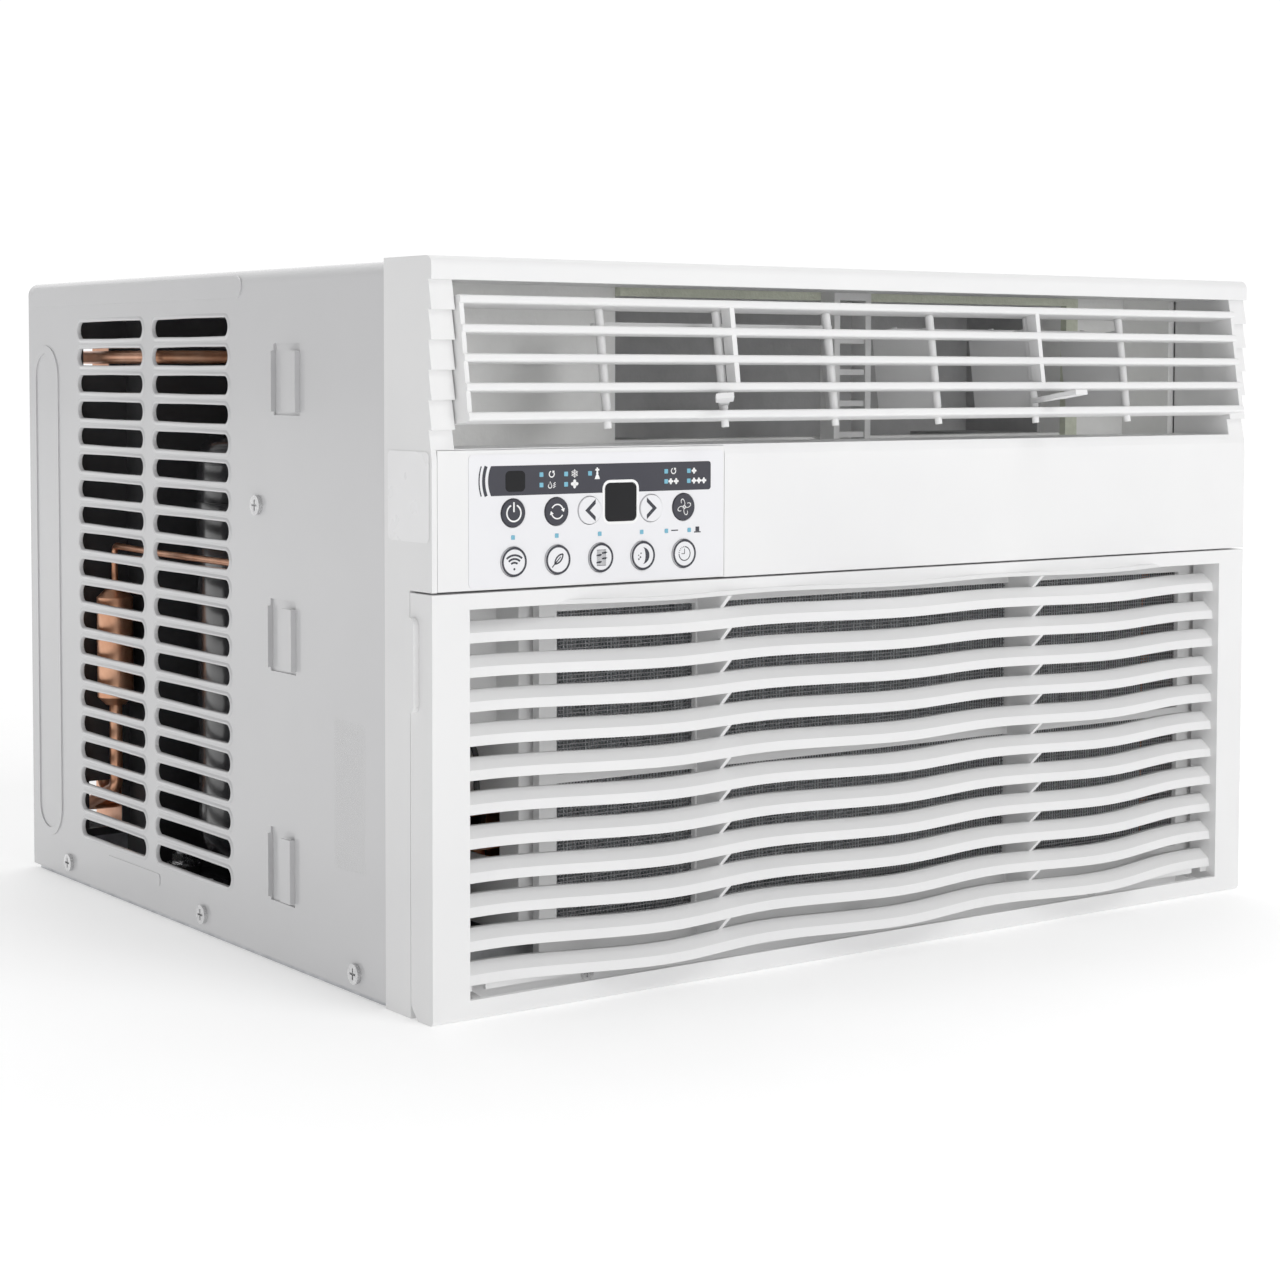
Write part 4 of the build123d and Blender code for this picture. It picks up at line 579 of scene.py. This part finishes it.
def cycle_sign(target, x, z, y):
    """Two arrows that chase each other, for changing the mode."""
    for half in range(2):
        set_down(target, flat_ring(2.9, 0.5, 20, 130, steps=14), x, z, y, turn=180 * half)
        set_down(target, flat_outline((2.0, 0.2), (3.8, 0.2), (2.9, -1.2)), x, z, y,
                 turn=180 * half + 18)


def swirl_sign(target, x, z, y):
    """Four hollow blades that swirl about a hub."""
    for quarter in range(4):
        set_down(target, flat_ring(1.45, 0.34, 250, 290, steps=14, squeeze=0.62, out=2.05), x, z, y,
                 turn=90 * quarter + 20)
    set_down(target, flat_ring(0.5, 0.3, steps=10), x, z, y)


def angle_sign(target, x, z, y, way):
    """Arrow head that points left (-1) or right (1)."""
    tip = flat_outline((2.6 * way, 0), (-2.6 * way, 4.6), (-2.6 * way, 2.6), (0.3 * way, 0))
    foot = flat_outline((2.6 * way, 0), (-2.6 * way, -4.6), (-2.6 * way, -2.6), (0.3 * way, 0))
    set_down(target, tip, x, z, y)
    set_down(target, foot, x, z, y)


# %% [markdown]
# ## Signs of the lower row
# The moon is a disc whose left half is folded back through itself, and the leaf is two arcs that
# share their ends; both are quicker to draw that way than point by point.


# %% Signs of the lower row
def waves_sign(target, x, z, y):
    """Three arcs over a dot, for wireless control."""
    for radius, half_sweep in ((5.6, 41), (4.1, 41), (2.6, 36)):
        arc = flat_ring(radius, 0.85, 90 - half_sweep, 2 * half_sweep, steps=12)
        set_down(target, arc, x, z - 2.9, y)
    set_down(target, flat_disc(0.5, points=12), x, z - 2.9, y)


def leaf_sign(target, x, z, y):
    """Leaf with a stem, for saving energy."""
    for side, start in ((1, 90), (-1, 270)):
        arc = flat_ring(3.9, 0.7, start, 90, steps=12)
        bmesh.ops.translate(arc, vec=(side * 1.95 * MM, -side * 1.95 * MM, 0), verts=arc.verts)
        set_down(target, arc, x + 0.3, z + 0.3, y)
    set_down(target, flat_bar(0.5, 6.0, corner=0.15), x - 0.9, z - 0.9, y, turn=-45)


def filter_sign(target, x, z, y):
    """Slatted sheet crossed by short streams, for the filter reminder."""
    for slat in range(8):
        set_down(target, flat_bar(0.22, 6.4), x - 2.1 + slat * 0.6, z, y)
    for end in (-1, 1):
        set_down(target, flat_bar(4.5, 0.22), x, z + end * 3.2, y)
    for shift, rise in ((-1.2, -1.9), (-1.2, 1.0), (1.4, -0.4), (1.4, 1.9)):
        set_down(target, flat_outline((-1.3, -0.35), (0.5, -0.35), (1.6, 0.25), (0.5, 0.6), (-1.3, 0.2)),
                 x + shift, z + rise, y - INK / 2)


def moon_sign(target, x, z, y):
    """Crescent and four drops, for the night setting."""
    crescent = flat_disc(3.5, points=36)
    for vert in crescent.verts:
        if vert.co.x < 0:
            vert.co.x *= -0.42
    set_down(target, crescent, x - 0.4, z, y)
    for shift, rise, radius in ((-2.4, 0.2, 0.3), (-1.2, 1.0, 0.35), (-1.5, -0.6, 0.42),
                                (-2.3, -1.4, 0.42)):
        set_down(target, flat_disc(radius, points=10), x + shift, z + rise, y)


def clock_sign(target, x, z, y):
    """Clock face, dotted over the last quarter."""
    set_down(target, flat_ring(2.9, 0.45, 180, 270, steps=22), x, z, y)
    for tick in range(5):
        set_down(target, flat_bar(0.32, 0.6), x + 2.9 * math.cos(math.radians(100 + 17 * tick)),
                 z + 2.9 * math.sin(math.radians(100 + 17 * tick)), y, turn=10 + 17 * tick)
    set_down(target, flat_bar(0.35, 2.2), x, z + 1.0, y)
    set_down(target, flat_bar(1.7, 0.35), x - 0.75, z - 0.05, y)


# %% [markdown]
# ## A print for every button
# Each sign is set on the front face of its own button and rides on that button's body. The pale
# buttons also get a dark ring near their edge. The ring could be a groove in the button, but it is
# only printed on the real panel, so a thin flat ring is the honest shape.

# %% Print every button
RING_RADIUS = 5.5
RING_WIDTH = 0.95
BUTTON_SIGNS = {
    "button_power": (power_sign, "white_ink"), "button_mode": (cycle_sign, "white_ink"),
    "button_fan": (swirl_sign, "white_ink"), "button_wireless": (waves_sign, "ink"),
    "button_eco": (leaf_sign, "ink"), "button_filter": (filter_sign, "ink"),
    "button_sleep": (moon_sign, "ink"), "button_timer": (clock_sign, "ink"),
}
for button, (draw, colour) in BUTTON_SIGNS.items():
    low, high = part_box(button)
    middle_x, middle_z = (low.x + high.x) / 2 / MM, (low.z + high.z) / 2 / MM
    art = bmesh.new()
    draw(art, middle_x, middle_z, low.y)
    if colour == "ink":
        set_down(art, flat_ring(RING_RADIUS, RING_WIDTH, steps=48), middle_x, middle_z, low.y)
    piece(button + "_sign", art, printed[colour], button)
for button, way in (("button_down", -1), ("button_up", 1)):
    low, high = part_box(button)
    art = bmesh.new()
    angle_sign(art, (low.x + high.x) / 2 / MM, (low.z + high.z) / 2 / MM, low.y, way)
    piece(button + "_sign", art, printed["ink"], button)
print("buttons printed:", len(BUTTON_SIGNS) + 2)

# %% [markdown]
# ## Label and tape on the left side
# A plain pale label sits on the side of the plastic front, and a strip of clear packing tape was
# left on the cabinet. Both are flat shapes turned to face left. The tape's short ends are torn, so
# their edges are cut into pieces and shaken with a fixed seed.


# %% Set a flat shape on the left side
def set_on_side(name, shape, surface, x, depth_mm, z, thick):
    """Thicken a flat shape and set it on the left side, facing left."""
    grown = bmesh.ops.extrude_face_region(shape, geom=shape.faces[:])["geom"]
    raised = [part for part in grown if isinstance(part, bmesh.types.BMVert)]
    bmesh.ops.translate(shape, vec=(0, 0, thick), verts=raised)
    bmesh.ops.recalc_face_normals(shape, faces=shape.faces)
    sideways = Matrix(((0, 0, -1), (-1, 0, 0), (0, 1, 0)))
    bmesh.ops.rotate(shape, verts=shape.verts, cent=(0, 0, 0), matrix=sideways)
    bmesh.ops.translate(shape, vec=(x, behind(depth_mm), z * MM), verts=shape.verts)
    return piece(name, shape, surface, "cabinet")


label_film = finish("label film", (0.86, 0.86, 0.87), (0.90, 0.90, 0.90), 0.3, relief=0.000005)
LABEL_X, TAPE_X = -236.12 * MM, -235.42 * MM
set_on_side("side_label", flat_bar(32, 36, corner=2.5), label_film, LABEL_X, 17.8, 210.0,
            0.12 * MM)
tape = flat_bar(25.5, 62)
torn = [edge for edge in tape.edges if abs(edge.verts[0].co.y - edge.verts[1].co.y) < 0.001]
bmesh.ops.subdivide_edges(tape, edges=torn, cuts=24)
shaker = random.Random(7)
for vert in tape.verts:
    if abs(vert.co.x) < 12.7 * MM:
        vert.co.y += shaker.uniform(-0.9, 0.9) * MM
tape_film = finish("clear packing tape", (0.80, 0.80, 0.80), (0.84, 0.84, 0.84), 0.12, cloud=60,
                   grain=160, relief=0.00012)
tape_film.node_tree.nodes["Principled BSDF"].inputs["Alpha"].default_value = 0.06
set_on_side("packing_tape", tape, tape_film, TAPE_X, 67.2, 83.0, 0.05 * MM)
print("label and tape set on the side")

# %% [markdown]
# ## Wires beside the filter
# Left of the filter the grille shows the electrical side: black wires hang from the control box and
# turn down to the capacitor. They are fixed leads, so each is a short curve with a round section,
# made a mesh when its shape is final.


# %% Bend the wires
def wire(name, route, radius):
    """Round black lead along a smooth curve, riding on the cabinet."""
    line = bpy.data.curves.new(name, "CURVE")
    line.dimensions = "3D"
    line.bevel_depth = radius * MM
    line.bevel_resolution = 3
    line.resolution_u = 10
    run = line.splines.new("NURBS")
    run.points.add(len(route) - 1)
    for point, (x, depth_mm, z) in zip(run.points, route):
        point.co = (x * MM, behind(depth_mm), z * MM, 1)
    run.order_u = 3
    run.use_endpoint_u = True
    holder = bpy.data.objects.new(name + "_line", line)
    mesh = bpy.data.meshes.new_from_object(holder)
    bpy.data.objects.remove(holder)
    mesh.name = name
    made = bpy.data.objects.new(name, mesh)
    bpy.context.scene.collection.objects.link(made)
    for polygon in mesh.polygons:
        polygon.use_smooth = True
    mesh.materials.clear()
    mesh.materials.append(finishes["rubber"])
    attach(made, "cabinet")


WIRE_RADIUS = 1.3
for number, start in enumerate((-214, -208, -202, -196, -190)):
    sway = 3 * math.sin(number * 2.1)
    wire("wire_%d" % (number + 1),
         [(start, 47, 107), (start + sway, 44, 99), (start - sway, 41 - number, 90),
          (start - 4 + sway, 38, 80), (start - 3, 42 + number, 72), (-206, 56 + 3 * number, 76),
          (-206, 58 + 3 * number, 73)], WIRE_RADIUS)
print("wires bent")

# %% [markdown]
# ## The floor
# The machine stands on a seamless white sweep. A studio lights such a sweep on its own so that it
# stays white beside a white product; here the floor glows faintly instead, a little more
# with distance, which does the same without a second set of lamps.

# %% Lay the floor
floor_mesh = bmesh.new()
bmesh.ops.create_circle(floor_mesh, cap_ends=True, segments=64, radius=14.0)
floor_data = bpy.data.meshes.new("floor")
floor_mesh.to_mesh(floor_data)
floor_mesh.free()
floor = bpy.data.objects.new("floor", floor_data)
bpy.context.scene.collection.objects.link(floor)
sweep = finish("pale floor", (0.86, 0.86, 0.86), (0.88, 0.88, 0.88), 0.8, relief=0.00001, specular=0.2)
sweep_nodes = sweep.node_tree.nodes
sweep_nodes["Principled BSDF"].inputs["Emission Color"].default_value = (1, 1, 1, 1)
spot = sweep_nodes.new("ShaderNodeTexCoord")
away = sweep_nodes.new("ShaderNodeVectorMath")
away.operation = "LENGTH"
glow = sweep_nodes.new("ShaderNodeMapRange")
glow.interpolation_type = "SMOOTHSTEP"
glow.inputs["From Min"].default_value = 0.5
glow.inputs["From Max"].default_value = 2.5
glow.inputs["To Min"].default_value = 0.31
glow.inputs["To Max"].default_value = 0.6
sweep.node_tree.links.new(spot.outputs["Object"], away.inputs[0])
sweep.node_tree.links.new(away.outputs["Value"], glow.inputs["Value"])
sweep.node_tree.links.new(glow.outputs["Result"],
                          sweep_nodes["Principled BSDF"].inputs["Emission Strength"])
floor.data.materials.append(sweep)
print("floor radius 14 m")

# %% [markdown]
# ## The room
# A white room wraps the machine in soft light. One side of it is dimmer, so the left flank of the
# cabinet falls into a gentle grey and parts from the white front. The fade is a smooth step over
# the direction that a ray leaves in, and the bare backdrop itself always shows white.

# %% Light the room
world = bpy.data.worlds.new("soft studio")
bpy.context.scene.world = world
world.use_nodes = True
air = world.node_tree
direction = air.nodes.new("ShaderNodeTexCoord")
facing = air.nodes.new("ShaderNodeVectorMath")
facing.operation = "DOT_PRODUCT"
facing.inputs[1].default_value = (0.58, 0.81, 0.0)
fade = air.nodes.new("ShaderNodeMapRange")
fade.interpolation_type = "SMOOTHSTEP"
fade.inputs["From Min"].default_value = 0.2
fade.inputs["From Max"].default_value = 0.8
fade.inputs["To Min"].default_value = 0.32
fade.inputs["To Max"].default_value = 1.05
air.links.new(direction.outputs["Generated"], facing.inputs[0])
air.links.new(facing.outputs["Value"], fade.inputs["Value"])
seen = air.nodes.new("ShaderNodeLightPath")
backdrop = air.nodes.new("ShaderNodeMath")
backdrop.operation = "MAXIMUM"
air.links.new(fade.outputs["Result"], backdrop.inputs[0])
air.links.new(seen.outputs["Is Camera Ray"], backdrop.inputs[1])
air.links.new(backdrop.outputs["Value"], air.nodes["Background"].inputs["Strength"])
air.nodes["Background"].inputs["Color"].default_value = (1, 1, 1, 1)
print("room lit from", fade.inputs["To Min"].default_value, "to", fade.inputs["To Max"].default_value)

# %% [markdown]
# ## Softboxes
# Four square lamps give the form: one in front, low enough to reach into the air outlet, one
# higher for the upper faces of the bars, one above for the roof, and a small one at the left whose
# reflection draws the embossed ribs of the painted side. Large lamps keep the shadows soft.


# %% Hang the softboxes
def softbox(name, place, target, size, power):
    """Square area lamp aimed at a point."""
    lamp = bpy.data.lights.new(name, "AREA")
    lamp.shape = "SQUARE"
    lamp.size = size
    lamp.energy = power
    made = bpy.data.objects.new(name, lamp)
    bpy.context.scene.collection.objects.link(made)
    made.location = place
    made.rotation_mode = "QUATERNION"
    made.rotation_quaternion = (Vector(target) - Vector(place)).to_track_quat("-Z", "Y")
    print(name, power, "W")


softbox("front softbox", (0.05, -2.7, 0.7), (0, -0.2, 0.15), 1.0, 15)
softbox("high softbox", (0.2, -1.7, 1.9), (0, -0.2, 0.15), 1.0, 13)
softbox("top softbox", (0.3, 0.5, 2.4), (0, 0, 0.2), 1.8, 14)
softbox("side softbox", (-2.2, 0.5, 1.3), (-0.2, 0, 0.15), 0.6, 4)

# %% [markdown]
# ## Camera
# A long lens from the left front corner, a little above the middle of the machine. The lens is
# shifted down rather than tilted, as with a view camera, so upright edges stay upright.

# %% Set up the camera
CAMERA_PLACE = (-0.75365, -1.06206, 0.2602)
CAMERA_ANGLES = (-35.7349, 3.0662, 0.1275)
LENS = 71.894
bpy.context.scene.view_settings.view_transform = "Standard"
bpy.context.scene.view_settings.gamma = 1.2
camera_data = bpy.data.cameras.new("camera")
camera = bpy.data.objects.new("camera", camera_data)
bpy.context.scene.collection.objects.link(camera)
bpy.context.scene.camera = camera
camera_data.sensor_width = 36.0
camera_data.lens = LENS
camera_data.shift_x = 0.0
camera_data.shift_y = -0.1038
camera_data.dof.use_dof = False
azimuth, elevation, roll = (math.radians(angle) for angle in CAMERA_ANGLES)
back = Vector((math.sin(azimuth) * math.cos(elevation), -math.cos(azimuth) * math.cos(elevation),
               math.sin(elevation)))
right = Vector((math.cos(azimuth), math.sin(azimuth), 0))
up = back.cross(right)
turn = Matrix((right, up, back)).transposed().to_4x4() @ Matrix.Rotation(roll, 4, "Z")
camera.matrix_world = Matrix.Translation(Vector(CAMERA_PLACE)) @ turn
print("camera with a", round(LENS), "mm lens")
